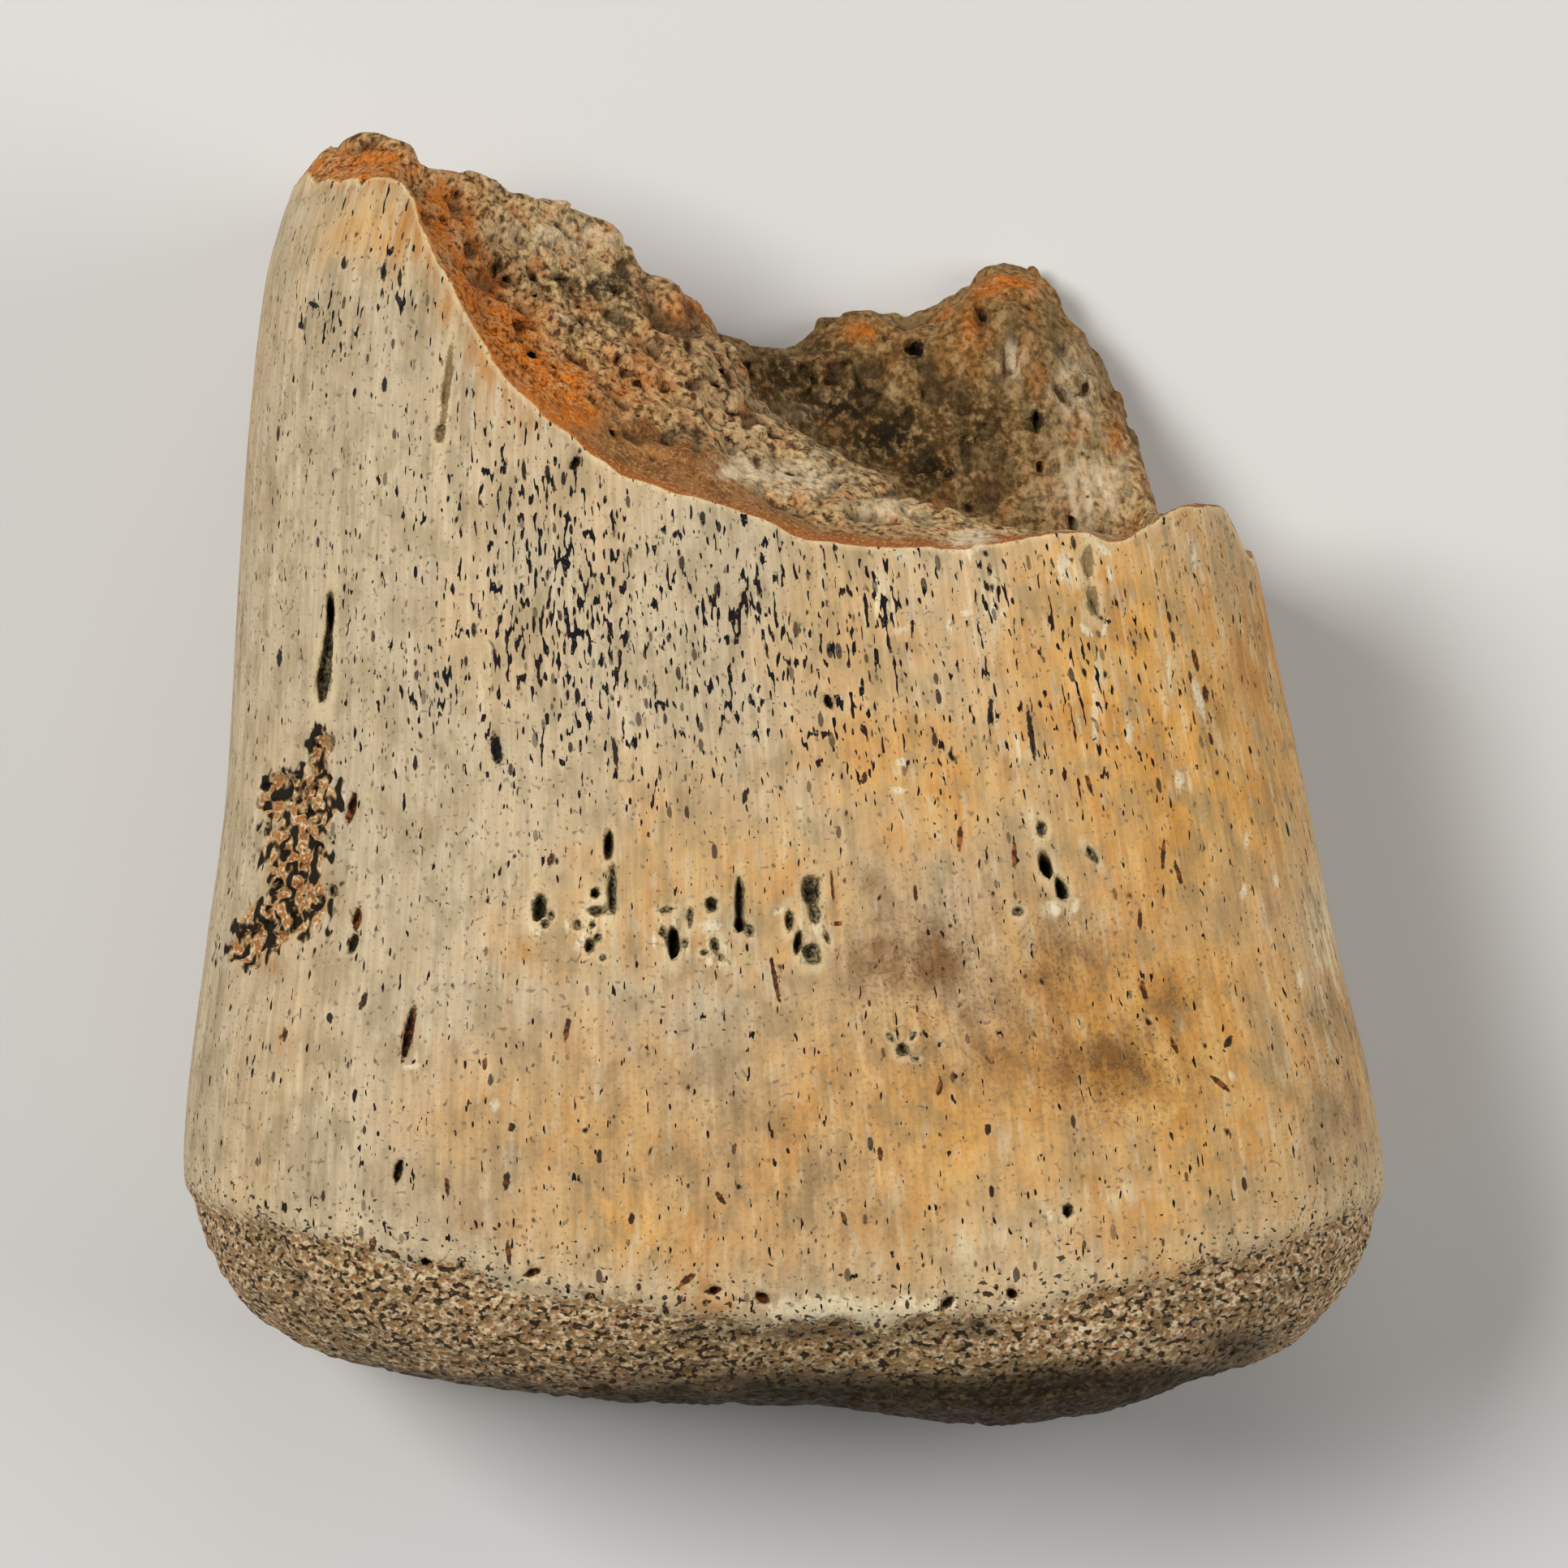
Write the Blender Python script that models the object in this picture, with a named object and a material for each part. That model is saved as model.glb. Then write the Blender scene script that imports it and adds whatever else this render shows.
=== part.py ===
"""A fossil finger bone of a duck-billed dinosaur: the joint end of one phalanx, broken across the shaft.

The bone lies on its palmar side with its dorsal face up. +X runs across the bone, +Y from the joint
surface towards the break, +Z up out of the surface that it rests on. The origin is under its middle.
Shape formulas work in millimetres, and each finished mesh is scaled to metres.
"""

import bmesh
import bpy
import numpy as np
from mathutils import Matrix, Vector, noise

MM = 0.001
NODE_NAME = "finger_bone"
COLLECTION_NAME = "Corythosaurus finger bone"

# Outline of the whole bone, in mm, at stations along it: y, left side, right side, back, front.
STATIONS = (
    (-20.0, -18.2, 18.2, 0.4, 20.4),
    (-14.5, -18.25, 18.3, -0.2, 21.0),
    (-10.0, -18.05, 17.8, 0.1, 20.7),
    (-5.0, -17.45, 16.65, 0.7, 19.9),
    (0.0, -16.85, 15.6, 0.9, 19.1),
    (5.0, -16.6, 14.5, 0.6, 18.3),
    (10.0, -16.3, 13.5, 0.1, 17.6),
    (15.0, -15.75, 12.8, -0.2, 17.1),
    (18.0, -14.95, 12.4, -0.2, 16.8),
    (21.0, -14.1, 12.0, -0.2, 16.6),
)
WIDEST_SHARE = 0.45  # the height of the widest level, as a share of the thickness
FRONT_SQUARENESS = 2.6  # 2 is an ellipse, and more is boxier
BACK_SQUARENESS = 3.2
BONE_MIDDLE = (0.0, 0.0, 9.5)
LONGEST_REACH = 40.0

# Joint end: the lowest line of its rim across the bone, x and y, and the shallow dish inside it.
JOINT_RIM = (
    (-18.0, -16.2), (-15.8, -17.15), (-13.5, -17.8), (-9.6, -18.5), (-4.9, -19.1), (0.8, -19.45),
    (5.8, -19.9), (9.5, -19.4), (12.6, -18.3), (15.0, -17.7), (18.0, -16.3),
)
JOINT_SLANT = 0.05  # the palmar side of the rim reaches a little lower than the dorsal side
DISH_DEPTH = 1.9
DISH_CENTRE = (0.5, 9.5)
DISH_RADII = (12.5, 6.2)
RIM_ROUNDING = 5.0
RIM_STEP = 0.25  # the spongy rim lies this much lower than the sheet of outer bone
SHEET_EDGE = ((-18.0, -12.2), (-10.0, -14.3), (0.0, -15.7), (9.0, -15.2), (18.0, -12.4))

# The broken surface in lines across the bone, x and y: its front edge, the crest and the rear rim.
FRONT_EDGE = (
    (-14.5, 17.7), (-12.0, 17.7), (-11.1, 17.3), (-10.5, 15.6), (-9.4, 13.8), (-8.2, 11.9),
    (-6.6, 10.5), (-4.6, 9.1), (-2.1, 8.35), (-0.5, 7.8), (0.8, 7.25), (4.3, 7.0), (7.9, 7.45),
    (9.0, 7.4), (9.6, 7.0), (10.7, 7.75), (12.0, 8.4), (12.9, 8.3), (13.9, 6.9), (15.0, 6.3),
)
CREST = (
    (-15.0, 17.8), (-13.9, 18.9), (-12.5, 19.3), (-11.5, 19.2), (-10.8, 18.3), (-9.9, 18.2),
    (-7.0, 17.3), (-5.2, 16.8), (-4.2, 15.6), (-2.6, 14.7), (-1.2, 12.9), (0.8, 10.9), (3.2, 9.4),
    (4.9, 8.3), (6.6, 7.7), (8.6, 7.5), (10.5, 7.7), (11.3, 8.2), (12.7, 8.3), (13.6, 7.2), (15.0, 6.3),
)
REAR_RIM = (
    (-15.0, 17.3), (-12.0, 17.9), (-8.7, 16.6), (-4.9, 14.8), (-2.2, 12.9), (-0.6, 13.1), (0.6, 14.2),
    (3.7, 14.55), (5.4, 15.4), (6.7, 15.95), (7.6, 15.6), (8.7, 14.4), (10.2, 12.0), (10.8, 10.4),
    (11.4, 7.9), (12.7, 7.4), (15.0, 6.5),
)
# How far behind the front face the crest lies: x, then 0 at the front and 1 at the back.
CREST_PLACE = (
    (-15.0, 0.40), (-11.0, 0.34), (-8.7, 0.40), (-4.9, 0.50), (-2.1, 0.50), (-0.9, 0.46), (0.8, 0.37),
    (3.1, 0.26), (5.5, 0.14), (7.7, 0.09), (9.6, 0.10), (11.3, 0.20), (13.6, 0.30),
)
BREAK_STATION = 9.0
BREAK_SCOOP = 1.3  # how hollow the slope from the front edge to the crest is, 1 being straight
HOLLOW_FLOOR = 4.2
HOLLOW_LEFT = (-2.6, 1.2)
HOLLOW_RIGHT = (9.8, 11.4)
HOLLOW_NEAR_WALL = 0.14
REAR_WALL = (0.56, 0.80)  # where the hollow's far side rises, between front (0) and back (1)
BREAK_LUMPS = ((3.1, 0.55), (1.3, 0.38))  # grain size and height of the broken surface's lumps
SMOOTH_EDGE = (0.3, 3.5)  # the lumps rise between these distances behind the front face

# Pits in the faces: x, y, half width, half length, depth, and tilt in degrees.
VESSEL_OPENINGS = (
    (-7.05, -3.5, 0.45, 0.75, 1.1, 10),
    (-5.55, -3.35, 0.40, 0.80, 1.1, 0),
    (-5.15, -2.05, 0.24, 0.75, 0.9, 0),
    (-5.6, -4.65, 0.45, 0.5, 0.9, -20),
    (-3.35, -4.7, 0.40, 0.85, 1.3, 0),
    (-2.1, -3.8, 0.38, 0.45, 0.9, 0),
    (-1.35, -4.0, 0.26, 1.15, 1.2, 0),
    (0.65, -3.1, 0.55, 0.85, 1.3, 0),
    (0.9, -4.75, 0.50, 0.75, 1.1, 15),
    (0.05, -4.2, 0.26, 0.8, 0.8, 0),
    (7.75, -2.4, 0.45, 1.0, 1.3, 15),
    (11.1, -2.2, 0.26, 0.75, 0.7, 12),
    (3.5, -7.8, 0.45, 0.5, 0.8, 0),
    (7.0, -4.75, 0.24, 0.5, 0.7, 0),
    (-11.0, -7.0, 0.24, 0.7, 0.7, -12),
    (-12.35, -4.2, 0.24, 0.65, 0.7, 0),
)
GROOVES = (
    (-13.3, 3.9, 0.30, 1.55, 1.0, -4),
    (-9.9, 11.4, 0.20, 1.5, 0.6, -4),
    (-13.4, 6.6, 0.24, 0.4, 0.6, 0),
    (7.2, 1.1, 0.20, 1.3, 0.6, 6),
    (12.2, 3.4, 0.22, 0.8, 0.6, 6),
)
# A patch of the left side where the outer bone has worn through, as hollows that run together.
WORN_PATCH = (
    (-13.8, 0.9, 0.4, 0.8, 0.5, 0),
    (-14.0, -0.6, 0.8, 0.9, 0.6, 0),
    (-15.0, -0.4, 0.6, 0.7, 0.5, 0),
    (-14.4, -2.1, 0.9, 1.0, 0.7, 0),
    (-14.3, -3.5, 0.8, 1.0, 0.7, 0),
    (-15.3, -4.2, 0.8, 0.7, 0.6, 0),
    (-15.9, -4.9, 0.6, 0.5, 0.5, 0),
)
PALM_OPENINGS = (
    (-6.0, -9.0, 0.6, 0.9, 1.2, 0),
    (5.2, -7.4, 0.5, 0.8, 1.1, 0),
    (0.4, -3.6, 0.5, 1.0, 1.2, 0),
    (-3.2, 2.2, 0.35, 0.9, 0.9, 0),
    (7.6, 1.4, 0.35, 0.8, 0.9, 0),
)

# How finely the solids are faceted. The break cutter's block is in mm: x from and to, z from and to.
BALL_SUBDIVISIONS = 5
PIT_SUBDIVISIONS = 2
BREAK_BLOCK = (-18.75, 17.25, -2.0, 20.0)
BREAK_BLOCK_TOP = 30.0
BREAK_COLUMNS, BREAK_ROWS = 46, 32
SHARP_ANGLE = 35.0

BONE_COLOUR = (0.479, 0.342, 0.186, 1.0)
BONE_ROUGHNESS = 0.62


def smooth_step(low, high, value):
    share = np.clip((value - low) / (high - low), 0.0, 1.0)
    return share * share * (3.0 - 2.0 * share)


def curve_through(outline, at, column=1):
    """A smooth curve through an outline's points, which never swings past them."""
    table = np.array(outline, float)
    knots, values = table[:, 0], table[:, column]
    rises = np.diff(values) / np.diff(knots)
    before, after = rises[:-1], rises[1:]
    turning = before * after <= 0
    slopes = np.where(turning, 0.0, 2 * before * after / np.where(turning, 1.0, before + after))
    slopes = np.concatenate((rises[:1], slopes, rises[-1:]))
    at = np.clip(at, knots[0], knots[-1])
    i = np.clip(np.searchsorted(knots, at) - 1, 0, len(knots) - 2)
    width = knots[i + 1] - knots[i]
    s = (at - knots[i]) / width
    start = (1 + 2 * s) * (1 - s) ** 2 * values[i] + s * (1 - s) ** 2 * width * slopes[i]
    end = s * s * (3 - 2 * s) * values[i + 1] + s * s * (s - 1) * width * slopes[i + 1]
    return start + end


def rounded_max(a, b, rounding):
    """The larger of two surfaces, with the corner where they meet rounded off."""
    overlap = np.maximum(rounding - np.abs(a - b), 0.0) / rounding
    return np.maximum(a, b) + overlap * overlap * rounding / 4


def section(y):
    """Centre, half width, widest level, and heights above and below it, of the cross-section at y."""
    left, right, back, front = (curve_through(STATIONS, y, column) for column in (1, 2, 3, 4))
    level = back + WIDEST_SHARE * (front - back)
    return (left + right) / 2, (right - left) / 2, level, front - level, level - back


def side_distance(x, y, z):
    """About how far a point is outside the bone's long sides, in mm."""
    centre, half_width, level, above, below = section(y)
    upper = z >= level
    n = np.where(upper, FRONT_SQUARENESS, BACK_SQUARENESS)
    half_height = np.where(upper, above, below)
    across = np.maximum(np.abs(x - centre), 1e-6) / half_width
    height = np.maximum(np.abs(z - level), 1e-6) / half_height
    reach = (across**n + height**n) ** (1 / n)
    steepness = np.hypot(across ** (n - 1) / half_width, height ** (n - 1) / half_height)
    return (reach - 1) / (steepness * reach ** (1 - n))


def joint_surface(x, z):
    """y of the joint surface: a rim all round and a shallow dish inside it."""
    centre_x, centre_z = DISH_CENTRE
    radius = np.hypot((x - centre_x) / DISH_RADII[0], (z - centre_z) / DISH_RADII[1])
    dish = DISH_DEPTH * (1 - smooth_step(0.15, 1.0, radius))
    return curve_through(JOINT_RIM, x) + JOINT_SLANT * z + dish


def outside_distance(x, y, z):
    """Above 0 outside the unbroken bone and below 0 inside it. The flat at z = 0 is where it rests."""
    beyond_sheet = 1 - smooth_step(-0.3, 0.3, y - curve_through(SHEET_EDGE, x))
    sides = side_distance(x, y, z) + RIM_STEP * beyond_sheet
    return np.maximum(rounded_max(sides, joint_surface(x, z) - y, RIM_ROUNDING), -z)


def face_height(x, y, upwards):
    """z of the front or the back face at a point."""
    centre, half_width, level, above, below = section(np.asarray(y, float))
    squareness = FRONT_SQUARENESS if upwards else BACK_SQUARENESS
    across = np.clip(np.abs(x - centre) / half_width, 0.0, 0.99)
    rise = (1 - across**squareness) ** (1 / squareness)
    return level + above * rise if upwards else np.maximum(level - below * rise, 0.0)


def break_height(x, z):
    """y of the broken surface: a slope up to a crest, the marrow hollow and the rear wall's rim."""
    front = face_height(x, BREAK_STATION, True)
    back = face_height(x, BREAK_STATION, False)
    depth = np.clip((front - z) / (front - back), 0.0, 1.0)
    edge, crest, rear, crest_at = (
        curve_through(outline, x) for outline in (FRONT_EDGE, CREST, REAR_RIM, CREST_PLACE)
    )
    slope = edge + (crest - edge) * np.clip(depth / crest_at, 0.0, 1.0) ** BREAK_SCOOP
    behind = crest + (rear - crest) * np.clip((depth - crest_at) / (1 - crest_at), 0.0, 1.0)
    hollow = smooth_step(*HOLLOW_LEFT, x) * (1 - smooth_step(*HOLLOW_RIGHT, x))
    hollow = hollow * smooth_step(0.0, HOLLOW_NEAR_WALL, depth - crest_at)
    hollow = hollow * (1 - smooth_step(*REAR_WALL, depth))
    behind = behind - hollow * np.maximum(behind - HOLLOW_FLOOR, 0.0)
    return np.where(depth < crest_at, slope, behind)


def break_lumps(x, z):
    """Lumps of the broken spongy bone, which fade out towards the front edge."""
    height = sum(rise * noise.noise(Vector((x / grain, 3.7, z / grain))) for grain, rise in BREAK_LUMPS)
    behind_front = float(face_height(x, BREAK_STATION, True)) - z
    return height * float(smooth_step(*SMOOTH_EDGE, behind_front))


def object_from(bm, name, collection):
    """A new object from a mesh in millimetres, shaded smooth except at its sharp edges."""
    mesh = bpy.data.meshes.new(name)
    bm.normal_update()
    bm.to_mesh(mesh)
    bm.free()
    mesh.transform(Matrix.Scale(MM, 4))
    mesh.shade_smooth()
    mesh.set_sharp_from_angle(angle=np.radians(SHARP_ANGLE))
    obj = bpy.data.objects.new(name, mesh)
    collection.objects.link(obj)
    return obj


def whole_bone(collection):
    """The unbroken joint end: a ball whose points are each moved out to the bone's surface."""
    bm = bmesh.new()
    bmesh.ops.create_icosphere(bm, subdivisions=BALL_SUBDIVISIONS, radius=1.0)
    middle = np.array(BONE_MIDDLE)
    ways = np.array([vert.co for vert in bm.verts])
    near, far = np.zeros(len(ways)), np.full(len(ways), LONGEST_REACH)
    for _ in range(40):
        reach = (near + far) / 2
        x, y, z = (middle + ways * reach[:, None]).T
        outside = np.maximum(outside_distance(x, y, z), y - STATIONS[-1][0]) > 0
        near, far = np.where(outside, near, reach), np.where(outside, reach, far)
    for vert, point in zip(bm.verts, middle + ways * far[:, None]):
        vert.co = (point[0], point[1], max(point[2], 0.0))
    return object_from(bm, NODE_NAME, collection)


def break_cutter(collection):
    """A block whose underside is the broken surface and which takes away all above it."""
    left, right, low, high = BREAK_BLOCK
    bm = bmesh.new()
    bmesh.ops.create_grid(bm, x_segments=BREAK_COLUMNS, y_segments=BREAK_ROWS, size=0.5)
    for vert in bm.verts:
        x = left + (vert.co.x + 0.5) * (right - left)
        z = low + (vert.co.y + 0.5) * (high - low)
        vert.co = (x, float(break_height(x, z)) + break_lumps(x, z), z)
    lid = bmesh.ops.extrude_face_region(bm, geom=bm.faces[:])
    for vert in (item for item in lid["geom"] if isinstance(item, bmesh.types.BMVert)):
        vert.co.y = BREAK_BLOCK_TOP
    bmesh.ops.recalc_face_normals(bm, faces=bm.faces[:])
    return object_from(bm, "break_cutter", collection)


def pit_cutter(collection):
    """All the pits as one cutter: a small egg for each, half sunk in the face."""
    bm = bmesh.new()
    pits = [(*pit, True) for pit in VESSEL_OPENINGS + GROOVES + WORN_PATCH]
    pits += [(*pit, False) for pit in PALM_OPENINGS]
    for x, y, half_width, half_length, depth, tilt, upwards in pits:
        z = float(face_height(x, y, upwards))
        place = Matrix.Translation((x, y, z)) @ Matrix.Rotation(np.radians(-tilt), 4, "Z")
        size = Matrix.Diagonal((half_width, half_length, depth, 1.0))
        bmesh.ops.create_icosphere(bm, subdivisions=PIT_SUBDIVISIONS, radius=1.0, matrix=place @ size)
    return object_from(bm, "pit_cutter", collection)


def cut(obj, cutter, eggs_overlap=False):
    """Takes the cutter's shape out of the object, and keeps the cutter out of sight."""
    cutter.hide_render = True
    cutter.display_type = "WIRE"
    modifier = obj.modifiers.new(cutter.name, "BOOLEAN")
    modifier.operation = "DIFFERENCE"
    modifier.solver = "EXACT"
    modifier.object = cutter
    modifier.use_self = eggs_overlap


def bone_material():
    """Fossil bone: mineralised bone in its mean colour, ochre and matt."""
    material = bpy.data.materials.new("fossil bone")
    material.use_nodes = True
    shader = material.node_tree.nodes["Principled BSDF"]
    shader.inputs["Base Color"].default_value = BONE_COLOUR
    shader.inputs["Roughness"].default_value = BONE_ROUGHNESS
    shader.inputs["Metallic"].default_value = 0.0
    return material


def new_collection(name):
    collection = bpy.data.collections.new(name)
    bpy.context.scene.collection.children.link(collection)
    return collection


def main():
    for obj in list(bpy.data.objects):
        bpy.data.objects.remove(obj)
    bones, cutters = new_collection(COLLECTION_NAME), new_collection("Cutters")
    bone = whole_bone(bones)
    bone.data.materials.append(bone_material())
    cut(bone, break_cutter(cutters))
    cut(bone, pit_cutter(cutters), eggs_overlap=True)


main()
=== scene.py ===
# %% [markdown]
# # A fossil finger bone, seen from above
# The object is the joint end of one finger bone of a duck-billed dinosaur. Minerals have replaced the bone,
# so it is now a stone in the shape of a bone. It lies on its palmar side on a pale table, and the camera
# looks straight down on its upper face. One lump of stone is one piece here too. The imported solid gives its
# place and size, and this script makes the fine surface that stands in for it.

import bmesh
import bpy
import numpy as np
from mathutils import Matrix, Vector, noise


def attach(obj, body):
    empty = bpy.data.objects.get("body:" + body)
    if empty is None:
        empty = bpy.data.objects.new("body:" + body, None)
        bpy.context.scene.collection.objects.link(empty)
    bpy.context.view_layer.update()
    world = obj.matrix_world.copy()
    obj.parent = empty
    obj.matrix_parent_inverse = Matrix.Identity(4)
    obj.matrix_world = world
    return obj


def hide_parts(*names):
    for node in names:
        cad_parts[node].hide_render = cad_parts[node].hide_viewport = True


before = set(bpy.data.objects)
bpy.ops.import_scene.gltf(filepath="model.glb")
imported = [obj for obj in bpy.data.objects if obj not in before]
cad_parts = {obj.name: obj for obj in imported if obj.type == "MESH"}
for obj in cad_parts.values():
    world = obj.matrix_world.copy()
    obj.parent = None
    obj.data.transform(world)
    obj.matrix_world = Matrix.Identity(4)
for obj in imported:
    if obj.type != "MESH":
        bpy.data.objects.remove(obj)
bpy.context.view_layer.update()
MM = 0.001

# %% [markdown]
# ## Two tools for soft shapes
# Bone has no straight lines. A table of a few stations with a smooth curve through them gives an outline
# that is easy to read and to change. The curve's slope at each station is the harmonic mean of its two
# neighbours, which keeps it from swinging past a station, as a plain spline would at the break.

# %% Curves
def smooth_step(low, high, value):
    share = np.clip((value - low) / (high - low), 0.0, 1.0)
    return share * share * (3.0 - 2.0 * share)


def curve_through(outline, at, column=1):
    """A smooth curve through an outline's points, which never swings past them."""
    table = np.array(outline, float)
    knots, values = table[:, 0], table[:, column]
    rises = np.diff(values) / np.diff(knots)
    before, after = rises[:-1], rises[1:]
    turning = before * after <= 0
    slopes = np.where(turning, 0.0, 2 * before * after / np.where(turning, 1.0, before + after))
    slopes = np.concatenate((rises[:1], slopes, rises[-1:]))
    at = np.clip(at, knots[0], knots[-1])
    i = np.clip(np.searchsorted(knots, at) - 1, 0, len(knots) - 2)
    width = knots[i + 1] - knots[i]
    s = (at - knots[i]) / width
    start = (1 + 2 * s) * (1 - s) ** 2 * values[i] + s * (1 - s) ** 2 * width * slopes[i]
    end = s * s * (3 - 2 * s) * values[i + 1] + s * s * (s - 1) * width * slopes[i + 1]
    return start + end


def rounded_max(a, b, rounding):
    """The larger of two surfaces, with the corner where they meet rounded off."""
    overlap = np.maximum(rounding - np.abs(a - b), 0.0) / rounding
    return np.maximum(a, b) + overlap * overlap * rounding / 4


print("halfway up a soft hill 1 mm high:", round(float(curve_through(((0, 0), (1, 1), (2, 0)), 0.5)), 2))

# %% [markdown]
# ## The unbroken bone
# A finger bone is a short flattened column that widens to its joint. Its cross-section is a rounded box,
# squarer at the back than at the front. A superellipse draws that with two half widths and one number for
# how boxy it is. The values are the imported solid's own, in millimetres, so the fine surface lies on it.

# %% Outline of the bone
# y, left side, right side, back, front
STATIONS = (
    (-20.0, -18.2, 18.2, 0.4, 20.4),
    (-14.5, -18.25, 18.3, -0.2, 21.0),
    (-10.0, -18.05, 17.8, 0.1, 20.7),
    (-5.0, -17.45, 16.65, 0.7, 19.9),
    (0.0, -16.85, 15.6, 0.9, 19.1),
    (5.0, -16.6, 14.5, 0.6, 18.3),
    (10.0, -16.3, 13.5, 0.1, 17.6),
    (15.0, -15.75, 12.8, -0.2, 17.1),
    (18.0, -14.95, 12.4, -0.2, 16.8),
    (21.0, -14.1, 12.0, -0.2, 16.6),
)
WIDEST_SHARE = 0.45
FRONT_SQUARENESS = 2.6
BACK_SQUARENESS = 3.2


def section(y):
    """Centre, half width, widest level, and heights above and below it, of the cross-section at y."""
    left, right, back, front = (curve_through(STATIONS, y, column) for column in (1, 2, 3, 4))
    level = back + WIDEST_SHARE * (front - back)
    return (left + right) / 2, (right - left) / 2, level, front - level, level - back


def side_distance(x, y, z):
    """About how far a point is outside the bone's long sides, in mm."""
    centre, half_width, level, above, below = section(y)
    upper = z >= level
    n = np.where(upper, FRONT_SQUARENESS, BACK_SQUARENESS)
    half_height = np.where(upper, above, below)
    across = np.maximum(np.abs(x - centre), 1e-6) / half_width
    height = np.maximum(np.abs(z - level), 1e-6) / half_height
    reach = (across**n + height**n) ** (1 / n)
    steepness = np.hypot(across ** (n - 1) / half_width, height ** (n - 1) / half_height)
    return (reach - 1) / (steepness * reach ** (1 - n))


def face_height(x, y, upwards=True):
    """z of the front or the back face at a point."""
    centre, half_width, level, above, below = section(np.asarray(y, float))
    squareness = FRONT_SQUARENESS if upwards else BACK_SQUARENESS
    across = np.clip(np.abs(x - centre) / half_width, 0.0, 0.99)
    rise = (1 - across**squareness) ** (1 / squareness)
    return level + above * rise if upwards else np.maximum(level - below * rise, 0.0)


_, half, _, above, below = (float(value) for value in section(-14.5))
print("width and thickness at the joint, mm:", round(2 * half, 1), round(above + below, 1))

# %% [markdown]
# ## The joint end
# The joint surface is a shallow dish with a rounded rim. The hard outer sheet of the bone stops short of it,
# and the rim beyond is bare spongy bone that lies a little lower. So the rim is the same column, sunk by a
# quarter of a millimetre past a line, and closed by a dish.

# %% Joint end
JOINT_RIM = (
    (-18, -16.2), (-15.8, -17.15), (-13.5, -17.8), (-9.6, -18.5), (-4.9, -19.1), (0.8, -19.45), (5.8, -19.9),
    (9.5, -19.4), (12.6, -18.3), (15, -17.7), (18, -16.3),
)
JOINT_SLANT = 0.05
DISH_DEPTH = 1.9
DISH_CENTRE = (0.5, 9.5)
DISH_RADII = (12.5, 6.2)
RIM_ROUNDING = 5.0
RIM_STEP = 0.25
SHEET_EDGE = ((-18.0, -12.2), (-10.0, -14.2), (0.0, -15.75), (4.5, -15.6), (9.3, -14.85), (18.0, -12.4))


def joint_surface(x, z):
    """y of the joint surface: a rim all round and a shallow dish inside it."""
    centre_x, centre_z = DISH_CENTRE
    radius = np.hypot((x - centre_x) / DISH_RADII[0], (z - centre_z) / DISH_RADII[1])
    dish = DISH_DEPTH * (1 - smooth_step(0.15, 1.0, radius))
    return curve_through(JOINT_RIM, x) + JOINT_SLANT * z + dish


def outside_distance(x, y, z):
    """Above 0 outside the unbroken bone and below 0 inside it. The flat at z = 0 is where it rests."""
    beyond_sheet = 1 - smooth_step(-0.3, 0.3, y - curve_through(SHEET_EDGE, x))
    sides = side_distance(x, y, z) + RIM_STEP * beyond_sheet
    return np.maximum(rounded_max(sides, joint_surface(x, z) - y, RIM_ROUNDING), -z)


print("joint surface, lowest point in mm:", round(float(joint_surface(5.8, 0.0)), 2))

# %% [markdown]
# ## The break
# The shaft snapped on a slant. From the sharp front edge the break climbs over spongy bone to a crest, drops
# into the open marrow hollow and ends in a tooth of the rear wall. Each of those lines is a short outline
# across the bone, and the surface is drawn between them by how far a point lies behind the front face.

# %% Broken surface
FRONT_EDGE = (
    (-14.5, 17.7), (-12, 17.7), (-11.1, 17.3), (-10.5, 15.6), (-9.4, 13.8), (-8.2, 11.9), (-6.6, 10.5),
    (-4.6, 9.1), (-2.1, 8.35), (-0.5, 7.8), (0.8, 7.25), (4.3, 7), (7.9, 7.45), (8.8, 7.45), (9.5, 7.25),
    (10.5, 7.6), (12, 8.4), (12.9, 8.3), (13.9, 6.9), (15, 6.3),
)
CREST = (
    (-15, 17.8), (-13.9, 18.9), (-12.5, 19.3), (-11.5, 19.2), (-10.8, 18.3), (-9.9, 18.2), (-7, 17.3),
    (-5.2, 16.8), (-4.2, 15.6), (-2.6, 14.7), (-1.2, 12.9), (0.8, 10.9), (3.2, 9.4), (4.9, 8.3), (6.6, 7.7),
    (8.6, 7.5), (10.5, 7.7), (11.3, 8.2), (12.7, 8.3), (13.6, 7.2), (15, 6.3),
)
REAR_RIM = (
    (-15, 17.3), (-12, 17.9), (-8.7, 16.6), (-4.9, 14.8), (-2.2, 13.2), (-0.6, 13.5), (0.2, 13.8),
    (1.2, 14.5), (2.3, 14.6), (3.2, 14.4), (4.4, 14.9), (5.4, 15.7), (6.7, 16.3), (7.6, 16), (8.7, 14.6),
    (10.2, 12.2), (10.8, 10.6), (11.4, 7.9), (12.7, 7.4), (15, 6.5),
)
CREST_PLACE = (
    (-15, 0.4), (-11, 0.34), (-8.7, 0.4), (-4.9, 0.5), (-2.1, 0.5), (-0.9, 0.46), (0.8, 0.37), (3.1, 0.26),
    (5.5, 0.14), (7.7, 0.09), (9.6, 0.1), (11.3, 0.2), (13.6, 0.3),
)
BREAK_STATION = 9.0
BREAK_SCOOP = 1.3
HOLLOW_FLOOR = 4.2
HOLLOW_LEFT = (-2.6, 1.2)
HOLLOW_RIGHT = (9.8, 11.4)
HOLLOW_NEAR_WALL = 0.14
REAR_WALL = (0.56, 0.80)
BREAK_LUMPS = ((3.1, 0.40), (1.3, 0.24))
SMOOTH_EDGE = (0.3, 3.5)


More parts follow.
